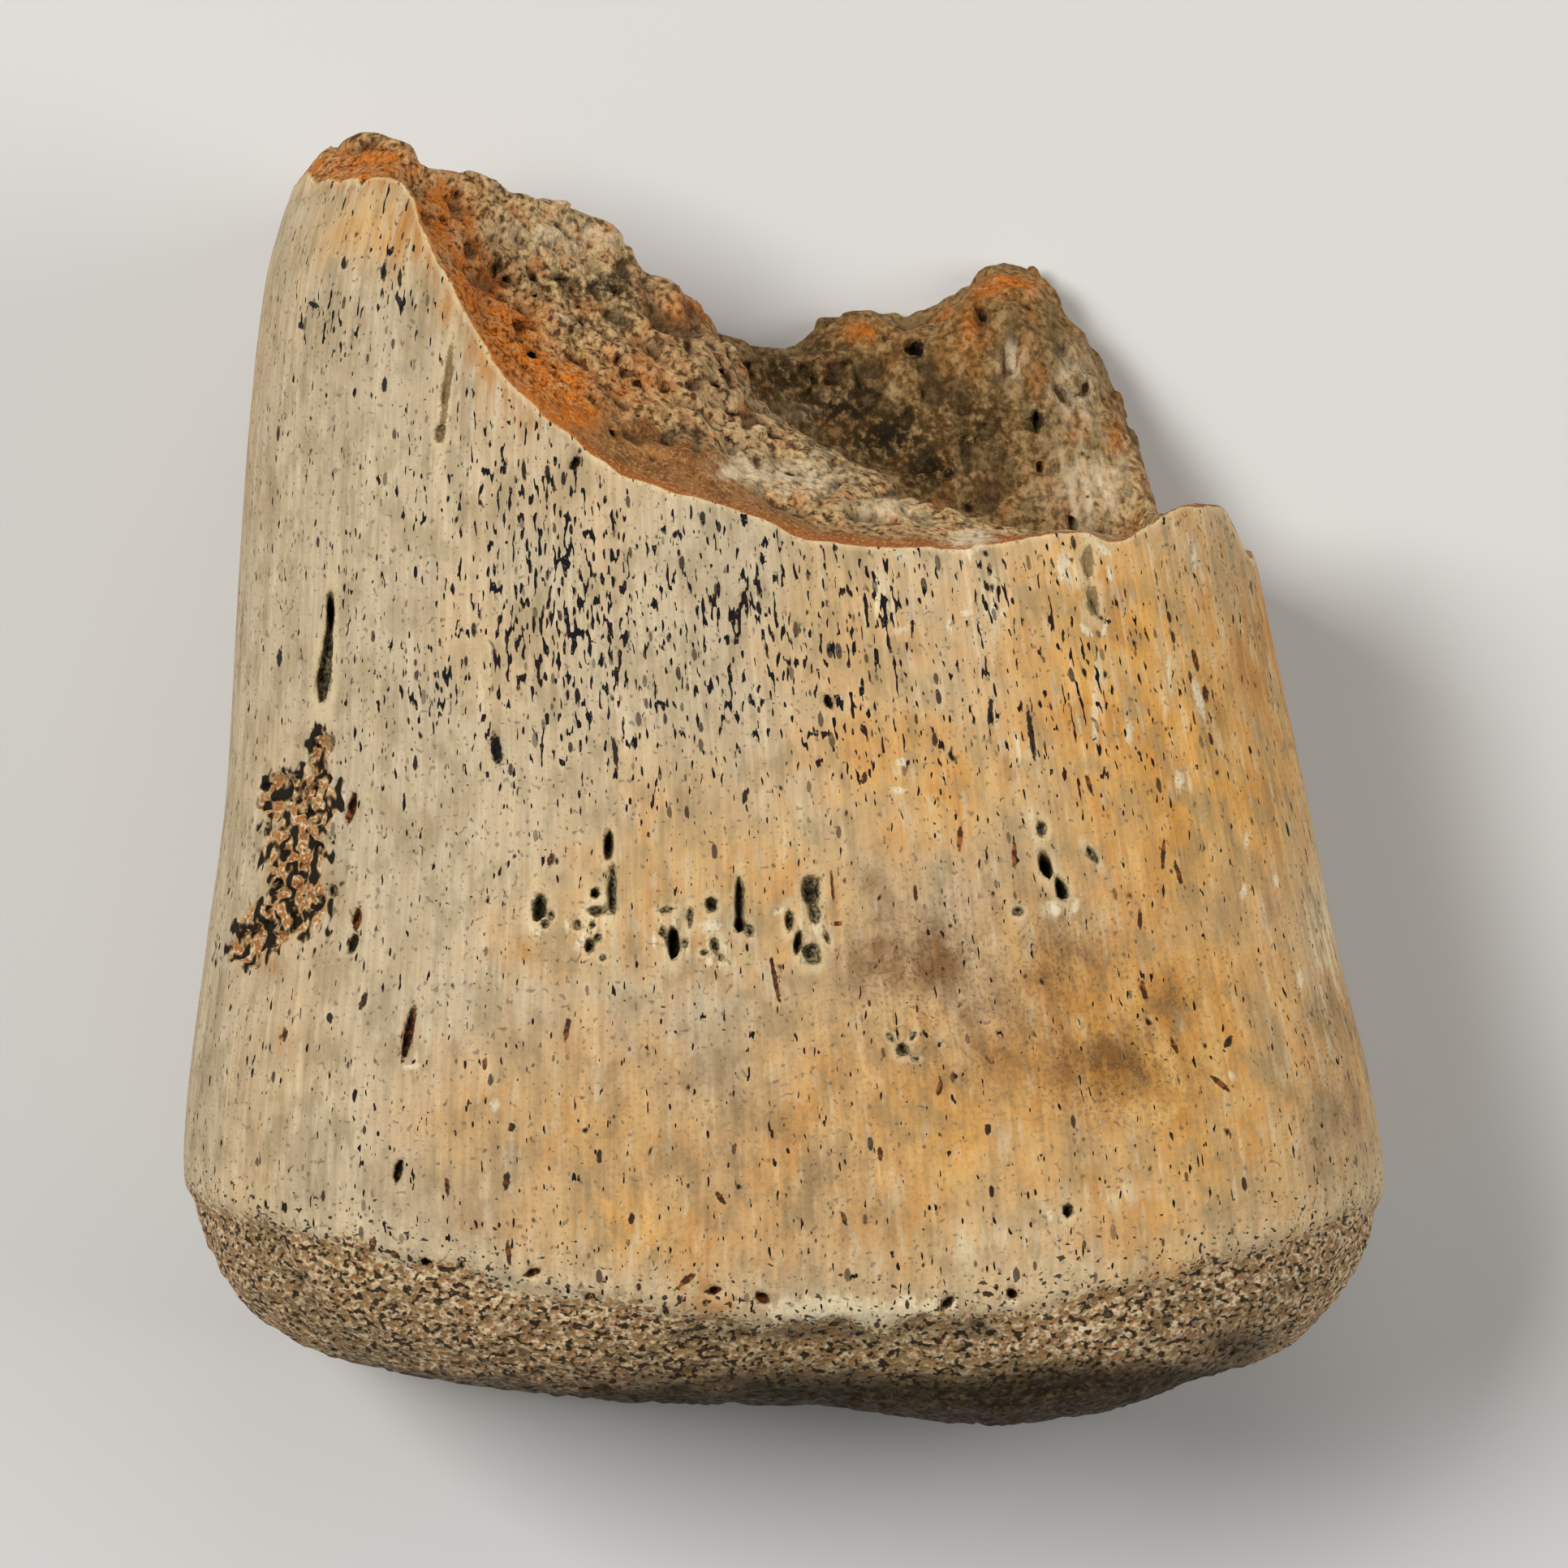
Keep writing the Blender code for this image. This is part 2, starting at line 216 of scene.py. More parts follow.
def behind_front(x, z):
    """How far a point lies behind the front face at the break, in mm."""
    return face_height(x, BREAK_STATION) - z


def break_height(x, z):
    """y of the broken surface: a slope up to a crest, the marrow hollow and the rear wall's rim."""
    thickness = face_height(x, BREAK_STATION) - face_height(x, BREAK_STATION, upwards=False)
    depth = np.clip(behind_front(x, z) / thickness, 0.0, 1.0)
    edge, crest, rear, crest_at = (
        curve_through(outline, x) for outline in (FRONT_EDGE, CREST, REAR_RIM, CREST_PLACE)
    )
    slope = edge + (crest - edge) * np.clip(depth / crest_at, 0.0, 1.0) ** BREAK_SCOOP
    behind = crest + (rear - crest) * np.clip((depth - crest_at) / (1 - crest_at), 0.0, 1.0)
    hollow = smooth_step(*HOLLOW_LEFT, x) * (1 - smooth_step(*HOLLOW_RIGHT, x))
    hollow = hollow * smooth_step(0.0, HOLLOW_NEAR_WALL, depth - crest_at)
    hollow = hollow * (1 - smooth_step(*REAR_WALL, depth))
    behind = behind - hollow * np.maximum(behind - HOLLOW_FLOOR, 0.0)
    return np.where(depth < crest_at, slope, behind)


def break_lump(x, z):
    return sum(rise * noise.noise(Vector((x / grain, 3.7, z / grain))) for grain, rise in BREAK_LUMPS)


tooth = max(y for x, y in REAR_RIM if x > 0) - min(y for x, y in FRONT_EDGE if x < 10)
print("tooth of the rear wall, mm above the front edge:", round(tooth, 1))

# %% [markdown]
# ## Sample the solid
# Pores and undercuts are hard to pull out of a flat mesh. A block of samples is easier to carve: each sample
# says how far outside the stone it is, hollows are sunk by taking the larger of two numbers, and a skin is
# drawn round the result at the end. The samples are 0.13 mm apart, about the width of a blood vessel here.

# %% Samples of the whole form
STEP = 0.13
BLOCK = ((-18.8, 18.8), (-20.2, 20.4), (-0.5, 21.6))
SLABS = 12  # the form is worked out slab by slab, to spare memory
axes = [np.arange(low, high, STEP, dtype=np.float32) for low, high in BLOCK]
x_line, y_line, z_line = axes[0][:, None, None], axes[1][None, :, None], axes[2][None, None, :]
outer = np.concatenate(
    [outside_distance(part, y_line, z_line).astype(np.float32) for part in np.array_split(x_line, SLABS)]
)

lumps = np.array([[break_lump(x, z) for z in axes[2]] for x in axes[0]], np.float32)
back_from_front = behind_front(axes[0][:, None], axes[2][None, :]).astype(np.float32)
break_line = break_height(axes[0][:, None], axes[2][None, :])
break_line = break_line + lumps * smooth_step(*SMOOTH_EDGE, back_from_front)
rise_x, rise_z = np.gradient(break_line, STEP)
steepness = np.sqrt(1 + rise_x**2 + rise_z**2)
broken = ((y_line - break_line[:, None, :]) / steepness[:, None, :]).astype(np.float32)
print("samples:", outer.shape, "about", round(outer.size / 1e6, 1), "million")

# %% [markdown]
# ## Random relief
# Every bump and dent comes from a smooth random field of a known grain size. On a regular block such a field
# is cheap: random values at knots one grain apart, spread along each direction in turn by a matrix product.
# Each field has its own seed, so it is the same in every run.

# %% Random relief
def spread(axis, grain):
    """Weights that turn values at knots one grain apart into a value at each sample of an axis."""
    place = (axis - axis[0]) / grain
    knot = np.floor(place).astype(int)
    share = smooth_step(0.0, 1.0, place - knot)
    weights = np.zeros((len(axis), knot[-1] + 2), np.float32)
    rows = np.arange(len(axis))
    weights[rows, knot] = 1 - share
    weights[rows, knot + 1] = share
    return weights


def relief(grain, seed):
    """A smooth random field between -1 and 1 over the block, with its grain size in mm."""
    along_x, along_y, along_z = (spread(axis, size) for axis, size in zip(axes, grain))
    knots = (along_x.shape[1], along_y.shape[1], along_z.shape[1])
    values = np.random.default_rng(seed).uniform(-1, 1, knots).astype(np.float32)
    values = np.tensordot(along_x, values, 1)
    return (along_y @ values) @ along_z.T


print("knots along the bone for a grain of 1 mm:", spread(axes[1], 1.0).shape[1])

# %% [markdown]
# ## Roughen the two surfaces
# The outer sheet swells and dips a little and carries low ridges along the bone, and the bare rim is grainy.
# The break is knobbly and pitted. Dense bone broke clean just behind its front edge, but the knob at its top
# left corner is rough right up to the sheet. Soft dents make the floor of the marrow hollow.

# %% Roughen the surfaces
# x and how rough the break is there, 1 where it is freshest
ROUGHNESS = ((-15, 0.5), (-11.2, 0.6), (-9.5, 1), (0, 1), (4, 0.8), (9, 0.6), (15, 0.5))
# x, y, half width, half length, depth
DENTS = (
    (0.4, 11.9, 1.2, 0.8, 0.8), (1.9, 11.3, 1.5, 1.1, 1.6), (3.5, 10.3, 1.4, 1.1, 1.5),
    (6.2, 10, 1.3, 1.8, 0.7),
)

CLEAN_BAND = (0.8, 3.4)
KNOB_ENDS = (-11.6, -10.4)
# both surfaces are sunk a little first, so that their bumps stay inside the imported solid's box
SHEET_SUNK = 0.09
BREAK_SUNK = 0.08

across_bone = axes[0][:, None]
rough = np.maximum(smooth_step(*CLEAN_BAND, back_from_front), 1 - smooth_step(*KNOB_ENDS, across_bone))
knobbly = (rough * curve_through(ROUGHNESS, across_bone))[:, None, :]
swells = SHEET_SUNK + 0.08 * relief((5.0, 7.0, 5.0), 1) + 0.02 * relief((0.8, 9.0, 0.8), 2)
knobs = 0.18 * relief((1.1, 1.1, 1.1), 3) + 0.12 * relief((0.55, 0.55, 0.55), 4)
knobs = knobs + 0.10 * relief((0.33, 0.33, 0.33), 15)
holes = 0.8 * np.maximum(relief((0.8, 0.8, 0.8), 5) - 0.35, 0)
holes = holes + 0.9 * np.maximum(relief((0.45, 0.45, 0.45), 6) - 0.25, 0)
rim_grain = 0.09 * relief((0.4, 0.4, 0.4), 7) + 0.25 * np.maximum(relief((0.5, 0.5, 0.5), 8) - 0.35, 0)
ragged = 0.45 * relief((1.2, 1.2, 1.2), 9)
bare_rim = smooth_step(-0.12, 0.12, curve_through(SHEET_EDGE, x_line) - y_line + ragged)
# the sheet's lip stands highest above the rim in the middle of the joint end
lip = 0.16 * np.exp(-(((x_line - 1.2) / 4.0) ** 2))
outer = outer + swells + (0.02 + lip + rim_grain) * bare_rim
chipped = 0.07 * relief((0.5, 0.5, 0.5), 13) + 0.08 * relief((1.6, 1.6, 1.6), 14)
broken = broken + BREAK_SUNK + chipped + (knobs + holes) * knobbly
for dent_x, dent_y, wide, long, depth in DENTS:
    plan = np.exp(-(((x_line - dent_x) / wide) ** 2) - ((y_line - dent_y) / long) ** 2)
    broken = broken + depth * plan * smooth_step(0.5, 6.5, z_line)
# the break's front edge is sharp, and its far edges are worn round
worn_edge = 0.05 + 0.9 * smooth_step(5.0, 10.0, back_from_front)[:, None, :]
uncarved = rounded_max(outer, broken, worn_edge).astype(np.float32)
bone = uncarved.copy()
print("share of the block that is stone:", round(float((bone < 0).mean()), 3))

# %% [markdown]
# ## Where the openings are
# Blood vessels entered the bone through openings in a row across its face, through two long slots on its
# left side and through many narrow slits. At the left edge the sheet has worn through to spongy bone in a
# patch. The break has holes of its own, and the palmar side has a few openings, as such bones do. Each row
# of numbers is one oval.

# %% Places of the openings
# x, y, half width, half length, turn in degrees, depth
VESSEL_OPENINGS = (
    (-7.22, -3.62, 0.24, 0.42, 8, 0.5), (-6.86, -3.86, 0.1, 0.15, 0, 0.25),
    (-7.05, -4.15, 0.11, 0.12, 0, 0.25), (-5.19, -1.83, 0.14, 0.44, 4, 0.6), (-5.08, -3.1, 0.1, 0.8, 0, 0.45),
    (-5.5, -3.74, 0.34, 0.09, 0, 0.35), (-5.58, -3.22, 0.15, 0.17, 0, 0.45),
    (-5.76, -4.77, 0.14, 0.22, 19, 0.5), (-5.5, -4.5, 0.12, 0.14, 0, 0.3), (-6.1, -4.14, 0.1, 0.19, 3, 0.3),
    (-5.65, -4.15, 0.11, 0.08, 0, 0.2), (-5.35, -5.1, 0.12, 0.12, 0, 0.2), (-3.29, -4.7, 0.19, 0.52, 0, 0.8),
    (-3.62, -4.34, 0.09, 0.17, 0, 0.3), (-3.5, -3.7, 0.26, 0.1, -10, 0.25), (-2.8, -3.9, 0.1, 0.33, 0, 0.3),
    (-2.95, -4.7, 0.1, 0.15, 0, 0.25), (-2.17, -3.57, 0.18, 0.24, 0, 0.45),
    (-2.07, -4.73, 0.1, 0.28, -5, 0.4), (-2.4, -4.95, 0.14, 0.1, 0, 0.2), (-1.9, -5.1, 0.1, 0.12, 0, 0.2),
    (-1.36, -3.4, 0.1, 0.75, 0, 0.6), (-1.36, -4.15, 0.15, 0.25, 0, 0.6), (-1.05, -4.3, 0.1, 0.2, 0, 0.3),
    (0.76, -3.15, 0.28, 0.42, 0, 0.45), (0.85, -3.85, 0.17, 0.32, 0, 0.4), (0.1, -4, 0.13, 0.38, 0, 0.4),
    (0.35, -4.65, 0.13, 0.38, 8, 0.5), (0.76, -5, 0.28, 0.34, -10, 0.3), (1.2, -4.5, 0.09, 0.25, -20, 0.25),
    (7.62, -2.43, 0.18, 0.42, -14, 0.8), (8.08, -3.15, 0.19, 0.34, -20, 0.7),
    (7.5, -1.35, 0.18, 0.28, 0, 0.2), (6.8, -3.76, 0.18, 0.15, 0, 0.35), (9, -2.1, 0.1, 0.36, -35, 0.3),
    (3.4, -7.8, 0.19, 0.22, 0, 0.4), (3.72, -7.38, 0.09, 0.18, 30, 0.2), (3.05, -7.42, 0.09, 0.18, -40, 0.2),
    (3.78, -8.05, 0.14, 0.08, 0, 0.2), (8.9, 6.55, 0.18, 0.55, 0, 0.15), (9.05, 5.35, 0.2, 0.45, 0, 0.14),
    (8.25, -12.5, 0.15, 0.22, 18, 0.4),
)
GROOVES = (
    (-13.45, 5, 0.13, 0.75, 0, 0.8), (-13.6, 3.3, 0.24, 0.9, 4, 0.36), (-13.5, 4.1, 0.15, 0.6, 0, 0.5),
    (-10, 11.6, 0.12, 1.6, 6, 0.15), (-10.2, 10.3, 0.16, 0.3, 0, 0.18),
)
# the same, but the last number is how red the slit is stained
SLITS = (
    (-11.05, -7.34, 0.14, 0.85, 12, 0.5), (-8.5, 1, 0.18, 0.5, -6, 0), (7.2, 1.5, 0.09, 0.85, -8, 0.1),
    (-12.78, -0.75, 0.13, 0.5, 15, 0.8), (-0.32, -5.7, 0.08, 0.8, -11, 0.4),
    (-11.34, -11.35, 0.12, 0.4, 12, 0.3), (5.1, -1.6, 0.09, 0.45, 3, 0.9), (11.1, -2.1, 0.07, 0.5, 3, 0.5),
    (11.55, -2.65, 0.08, 0.4, -15, 0.6), (-8.15, -11.6, 0.11, 0.3, 6, 0.3), (-8.1, -13.7, 0.09, 0.4, -5, 0.5),
    (6.7, -2.1, 0.09, 0.45, -2, 0.7), (-6.4, -7.2, 0.1, 0.4, 8, 0.5), (-12.7, -4.7, 0.13, 0.3, 19, 0.1),
    (-12.6, -4, 0.12, 0.4, 12, 0.9), (-2.9, -14.5, 0.11, 0.35, 51, 0.8), (5.9, -10.1, 0.11, 0.2, -7, 0.3),
    (-7.4, -14.3, 0.13, 0.28, 70, 0.7), (-12.4, -6.4, 0.11, 0.3, 20, 0.3), (10.5, -6.1, 0.1, 0.32, -13, 0.6),
    (-2.1, -14.8, 0.13, 0.23, 76, 0.9), (4.7, -15.2, 0.12, 0.3, 41, 0.3), (-9.5, -14.2, 0.12, 0.27, 1, 0.3),
    (-6.4, -15.4, 0.13, 0.3, -69, 0.6), (-12.1, -13.5, 0.11, 0.28, 12, 0.6),
    (6.6, -14.9, 0.13, 0.22, -58, 0.4), (-10.5, -14, 0.12, 0.24, -65, 0.5), (-0.7, -15, 0.15, 0.25, -50, 0.9),
    (12.75, -8.8, 0.09, 0.4, -51, 0.6), (-6.2, 9.4, 0.13, 0.25, 22, 0.1), (6, 2.1, 0.08, 0.48, 6, 0),
    (12.1, 3.65, 0.09, 0.38, -14, 0.6), (-5, 0.9, 0.08, 0.5, -7, 0), (-15, 3.7, 0.09, 0.28, 3, 0),
    (-11.9, 15.1, 0.1, 0.28, 1, 0.1), (13, -7.6, 0.11, 0.23, 26, 0.2), (-7, 9.1, 0.08, 0.3, -5, 0),
    (1.25, 2.4, 0.12, 0.25, -23, 0), (-11.4, 14.2, 0.1, 0.28, -24, 0), (12.4, 2.65, 0.1, 0.3, -7, 0.7),
    (-7.7, 9.2, 0.08, 0.35, -3, 0), (-9.9, -11.8, 0.08, 0.3, -4, 0.3), (-11.45, -13.8, 0.11, 0.2, -57, 0.6),
    (11.4, -7.7, 0.09, 0.27, -25, 0.7), (10.4, -4, 0.08, 0.32, -3, 0.7), (-11.85, 11.8, 0.09, 0.25, 4, 0),
    (0.35, -15.8, 0.1, 0.28, -59, 0.2), (-14, 14.2, 0.09, 0.2, -63, 0), (2.75, -10.8, 0.09, 0.24, -8, 0.8),
    (-5.45, -10.9, 0.1, 0.22, 1, 0.2), (-1.9, -12.1, 0.09, 0.27, -40, 0.5), (-15.4, -0.1, 0.13, 0.16, -48, 0),
    (-14.75, -7.4, 0.09, 0.22, 8, 0.5), (3.8, -3.2, 0.07, 0.28, -1, 0.9), (8.9, 0, 0.08, 0.28, -16, 0.7),
    (4.5, -8.9, 0.09, 0.23, 11, 0.7), (-6.95, -15.6, 0.11, 0.22, 90, 0.4), (-6.9, -2.25, 0.09, 0.2, 8, 0.7),
    (-3.5, -15.4, 0.1, 0.24, -21, 0.3), (-13.4, -6.9, 0.11, 0.17, -2, 0), (-4.3, -15.2, 0.1, 0.18, 33, 0.3),
    (1.5, -4.1, 0.08, 0.2, 86, 0.9), (5.9, -14.9, 0.1, 0.2, -90, 0.4), (-5.7, -15, 0.12, 0.18, 60, 0.7),
    (-13.1, 15.4, 0.08, 0.24, 5, 0), (-4.5, -12.7, 0.11, 0.17, 14, 0.3), (-11.05, -14.9, 0.08, 0.33, 35, 0.2),
    (-11.4, 14.9, 0.07, 0.3, 2, 0.1), (2.3, 0.15, 0.09, 0.2, 16, 0.8), (-8.8, -8.2, 0.08, 0.2, 3, 0.6),
    (-8, -10.05, 0.11, 0.15, 18, 0.2), (1.7, -12.7, 0.08, 0.22, -20, 0.5), (-14.4, 13.6, 0.09, 0.14, -13, 0),
    (-1.2, -0.4, 0.08, 0.23, 5, 0), (1.36, -3, 0.05, 0.6, -4, 0.9),
)
# x, y, half width, half length
WORN_PATCH = (
    (-13.75, 0.9, 0.25, 0.6), (-14, -0.6, 0.7, 0.8), (-15, -0.4, 0.5, 0.6), (-14.5, -2.1, 0.8, 0.9),
    (-14.3, -3.5, 0.7, 0.9), (-15.3, -4.2, 0.75, 0.6), (-15.9, -4.9, 0.5, 0.4),
)
BREAK_HOLES = (
    (3.95, 13.2, 0.34, 0.26, 30, 0.8), (7.6, 11, 0.14, 0.42, 0, 0.7), (9.1, 12, 0.13, 0.2, 0, 0.4),
    (7.7, 9.6, 0.14, 0.24, 0, 0.4), (4.9, 9.4, 0.25, 0.25, 0, 0.4), (5.6, 8.3, 0.25, 0.15, 0, 0.4),
    (5.9, 14.4, 0.15, 0.45, -25, 0.35), (-8.6, 15.4, 0.16, 0.42, 20, 0.7), (-3.6, 11.9, 0.2, 0.3, 0, 0.5),
    (-6.2, 14.8, 1, 0.22, 12, 0.5), (-4.7, 14.7, 0.7, 0.2, -8, 0.4), (-6.4, 13.5, 0.14, 0.2, 0, 0.5),
    (-5, 12.6, 0.16, 0.2, 0, 0.5), (-2.9, 13.1, 0.16, 0.3, 0, 0.6), (-7.6, 13.9, 0.14, 0.24, 0, 0.5),
)
PALM_OPENINGS = (
    (-6, -9, 0.6, 0.9, 0, 1.2), (5.2, -7.4, 0.5, 0.8, 0, 1.1), (0.4, -3.6, 0.5, 1, 0, 1.2),
    (-3.2, 2.2, 0.35, 0.9, 0, 0.9), (7.6, 1.4, 0.35, 0.8, 0, 0.9),
)
print("openings:", len(VESSEL_OPENINGS + GROOVES + BREAK_HOLES + PALM_OPENINGS), "and slits:", len(SLITS))

# %% [markdown]
# ## Carve the openings
# Each opening is an egg-shaped hollow with uneven walls, sunk half into the face, and small eggs that run
# together make the ragged ones. They are true hollows, since the shadow inside is what makes them read as
# holes. Only the widest slits are carved. The others are narrower than a sample, and the material draws
# them. The worn patch is a crowd of small pits, scattered with a fixed seed.

# %% Carve the openings
SLIT_DEPTH = 0.35
NARROWEST_CARVED = 0.12
WALL_UNEVENNESS = 1.6
PITS_A_SPOT = 18


def in_oval(x, y, oval):
    """Places in an oval's own frame, where it is a circle of radius 1."""
    middle_x, middle_y, half_width, half_length, turn = oval[:5]
    cosine, sine = np.cos(np.radians(turn)), np.sin(np.radians(turn))
    right, up = x - middle_x, y - middle_y
    return (right * cosine - up * sine) / half_width, (right * sine + up * cosine) / half_length


def carve(opening, upwards=True):
    """Sinks an egg into the upper or the palmar side. One narrower than a sample would fall between two."""
    x, y, half_width, half_length, turn, depth = opening
    half_width, half_length = max(half_width, STEP), max(half_length, STEP)
    column = uncarved[int((x - axes[0][0]) / STEP), int((y - axes[1][0]) / STEP)]
    z = axes[2][np.flatnonzero(column < 0)[-1 if upwards else 0]]
    reach = 1.3 * max(half_width, half_length, depth)
    near = tuple(
        slice(*np.searchsorted(axis, (middle - reach, middle + reach)))
        for axis, middle in zip(axes, (x, y, z))
    )
    spots = np.ix_(*(axis[span] for axis, span in zip(axes, near)))
    across, along = in_oval(spots[0], spots[1], (x, y, half_width, half_length, turn))
    radius = np.sqrt(across**2 + along**2 + ((spots[2] - z) / depth) ** 2)
    uneven = 1 + WALL_UNEVENNESS * min(half_width, 0.25) * ragged_walls[near]
    np.maximum(bone[near], (uneven - radius) * min(half_width, depth), out=bone[near])


ragged_walls = relief((0.3, 0.3, 0.3), 12)
for opening in VESSEL_OPENINGS + GROOVES + BREAK_HOLES:
    carve(opening)
for slit in SLITS:
    if slit[2] >= NARROWEST_CARVED:
        carve((*slit[:5], SLIT_DEPTH))
for opening in PALM_OPENINGS:
    carve(opening, upwards=False)
chance = np.random.default_rng(20)
for spot_x, spot_y, spot_width, spot_length in WORN_PATCH:
    for _ in range(PITS_A_SPOT):
        aside, ahead = chance.normal(0, 0.5, 2) * (spot_width, spot_length)
        wide, long = chance.uniform(0.10, 0.26, 2)
        turn, depth = chance.uniform(0, 90), chance.uniform(0.15, 0.45)
        carve((spot_x + aside, spot_y + ahead, wide, long, turn, depth))
np.maximum(bone, -z_line, out=bone)
print("stone carved away, cubic mm:", round(float(((bone > 0) & (uncarved < 0)).sum() * STEP**3), 1))

# %% [markdown]
# ## A skin round the samples
# Wherever stone and air meet between two samples, the skin passes. One point goes into every small cube of
# eight samples that holds some of each, at the mean of the places where the cube's edges are crossed, and
# four such points round each crossed edge make a face. That gives an even and closed skin of four-sided
# faces. Loose crumbs are left out by keeping the largest connected part alone.

# %% Skin
def skin_points(solid, full):
    """One point for each cube of eight samples that the surface crosses, and the cubes' numbers."""
    cubes_along = [size - 1 for size in full.shape]
    filled = np.zeros(cubes_along, np.int8)
    for corner in np.ndindex(2, 2, 2):
        filled += full[tuple(slice(side, side + size) for side, size in zip(corner, cubes_along))]
    crossed = (filled > 0) & (filled < 8)
    number = np.full(crossed.shape, -1, np.int32)
    number[crossed] = np.arange(crossed.sum())
    cubes = np.argwhere(crossed)
    corners = {corner: solid[tuple((cubes + corner).T)] for corner in np.ndindex(2, 2, 2)}
    total = np.zeros((len(cubes), 3))
    crossings = np.zeros((len(cubes), 1))
    for corner, here in corners.items():
        for way in range(3):
            if corner[way]:
                continue
            there = corners[tuple(1 if axis == way else side for axis, side in enumerate(corner))]
            passes = (here < 0) != (there < 0)
            place = np.tile(np.array(corner, float), (len(cubes), 1))
            place[:, way] = np.where(passes, here / np.where(passes, here - there, 1.0), 0.0)
            total += place * passes[:, None]
            crossings += passes[:, None]
    corner_of_block = [axis[0] for axis in axes]
    return corner_of_block + STEP * (cubes + total / crossings), number


def skin_faces(full, number):
    """Four-sided faces, one round each sample edge that the surface crosses, turned outwards."""
    faces = []
    for way in range(3):
        side, other = np.eye(3, dtype=int)[[(way + 1) % 3, (way + 2) % 3]]
        edges = np.argwhere(np.diff(full, axis=way))
        ring = [edges - side - other, edges - other, edges, edges - side]
        quads = np.stack([number[tuple(cube.T)] for cube in ring], axis=1)
        outwards = full[tuple(edges.T)]
        faces.append(np.where(outwards[:, None], quads, quads[:, ::-1]))
    return np.concatenate(faces)


def largest_part(points, faces):
    """The points and faces of the largest connected part."""
    part = np.arange(len(points))
    while True:
        lowest = part[faces].min(axis=1)
        joined = part.copy()
        np.minimum.at(joined, faces.ravel(), np.repeat(lowest, 4))
        joined = joined[joined]
        if (joined == part).all():
            break
        part = joined
    kept = part == np.bincount(part).argmax()
    renumbered = np.cumsum(kept) - 1
    return points[kept], renumbered[faces[kept[faces[:, 0]]]]


full = bone < 0
points, number = skin_points(bone, full)
points, faces = largest_part(points, skin_faces(full, number))
points[:, 2] = np.maximum(points[:, 2], 0.0)
print("skin:", len(points), "points,", len(faces), "faces")

# %% [markdown]
# ## Spend the triangles where the eye looks
# The even skin has far more triangles than a part may hold. The decimate modifier takes away the ones that
# matter least for the shape. A vertex group tells it to save the photographed face, the break and the rim,
# and to take more from the palmar side. Where a thin strut has closed up, two faces can be left on the same
# three points. Such pairs are taken out, so no stray faces are left.

# %% Thin the skin
TRIANGLES = 196000

skin = bpy.data.meshes.new("finger_bone_skin")
skin.from_pydata(points * MM, [], faces)
raw_bone = bpy.data.objects.new("raw_bone", skin)
bpy.context.scene.collection.objects.link(raw_bone)
plain = raw_bone.vertex_groups.new(name="plain")
# from hidden to in full view, how freely each band of the skin gives triangles away
in_view = np.maximum(smooth_step(3.0, 9.0, points[:, 2]), smooth_step(3.0, 5.0, points[:, 1]))
for low, high, weight in ((-0.1, 0.3, 1.0), (0.3, 0.8, 0.5), (0.8, 1.1, 0.25)):
    chosen = np.flatnonzero((in_view > low) & (in_view <= high))
    plain.add(chosen.tolist(), weight, "REPLACE")
nearest = np.round((points - [axis[0] for axis in axes]) / STEP).astype(int)
# the break keeps the most, since it is rough
of_break = (broken - outer)[tuple(nearest.T)] > -0.3
plain.add(np.flatnonzero(of_break & (points[:, 2] > 1.5)).tolist(), 0.08, "REPLACE")
thin = raw_bone.modifiers.new("thin", "DECIMATE")
thin.ratio = TRIANGLES / (2 * len(faces))
thin.vertex_group = plain.name
evaluated = raw_bone.evaluated_get(bpy.context.evaluated_depsgraph_get())
mesh = bpy.data.meshes.new_from_object(evaluated)
mesh.name = "finger_bone_skin"
bpy.data.objects.remove(raw_bone)

faces_on = {}
for face in mesh.polygons:
    faces_on.setdefault(tuple(sorted(face.vertices)), []).append(face.index)
doubled = [index for pair in faces_on.values() if len(pair) > 1 for index in pair]
shape = bmesh.new()
shape.from_mesh(mesh)
shape.faces.ensure_lookup_table()
bmesh.ops.delete(shape, geom=[shape.faces[index] for index in doubled], context="FACES")
shape.to_mesh(mesh)
shape.free()
mesh.shade_smooth()
bone_piece = bpy.data.objects.new("fossil_finger_bone", mesh)
bpy.context.scene.collection.objects.link(bone_piece)
mesh.calc_loop_triangles()
print("triangles kept:", len(mesh.loop_triangles), "and doubled faces taken out:", len(doubled))

# %% [markdown]
# ## What each point of the skin knows
# The finish of a fossil follows its anatomy: fibres run along the bone, rust gathers in the break, dirt in
# the holes. So each point of the mesh carries a few measured facts, and the material reads them. Most are
# distances in millimetres: past the sheet's edge, past the break's edge, behind the break's smooth band of
# dense bone, into the joint surface's painted shade and dirt, and how deep in a carved hollow, which dirt and
# painted shade darken. The grain fans out with the bone, so the fibres follow its sides.

# %% Facts for the material
spots_mm = np.empty(len(mesh.vertices) * 3, np.float32)
mesh.vertices.foreach_get("co", spots_mm)
at = spots_mm.reshape(-1, 3) / MM


def sampled(field):
    """A field's value at each point of the mesh, from the eight samples round it."""
    place = (at - [axis[0] for axis in axes]) / STEP
    corner = np.clip(np.floor(place).astype(int), 0, np.array(field.shape) - 2)
    share = place - corner
    value = 0
    for way in np.ndindex(2, 2, 2):
        weight = np.prod(np.where(way, share, 1 - share), axis=1)
        value = value + weight * field[tuple((corner + way).T)]
    return value


def know(name, values):
    """Keeps a number or a vector with each point of the mesh, for the material to read."""
    kind, field = ("FLOAT_VECTOR", "vector") if values.ndim == 2 else ("FLOAT", "value")
    mesh.attributes.new(name, kind, "POINT").data.foreach_set(field, np.ravel(values).astype(np.float32))


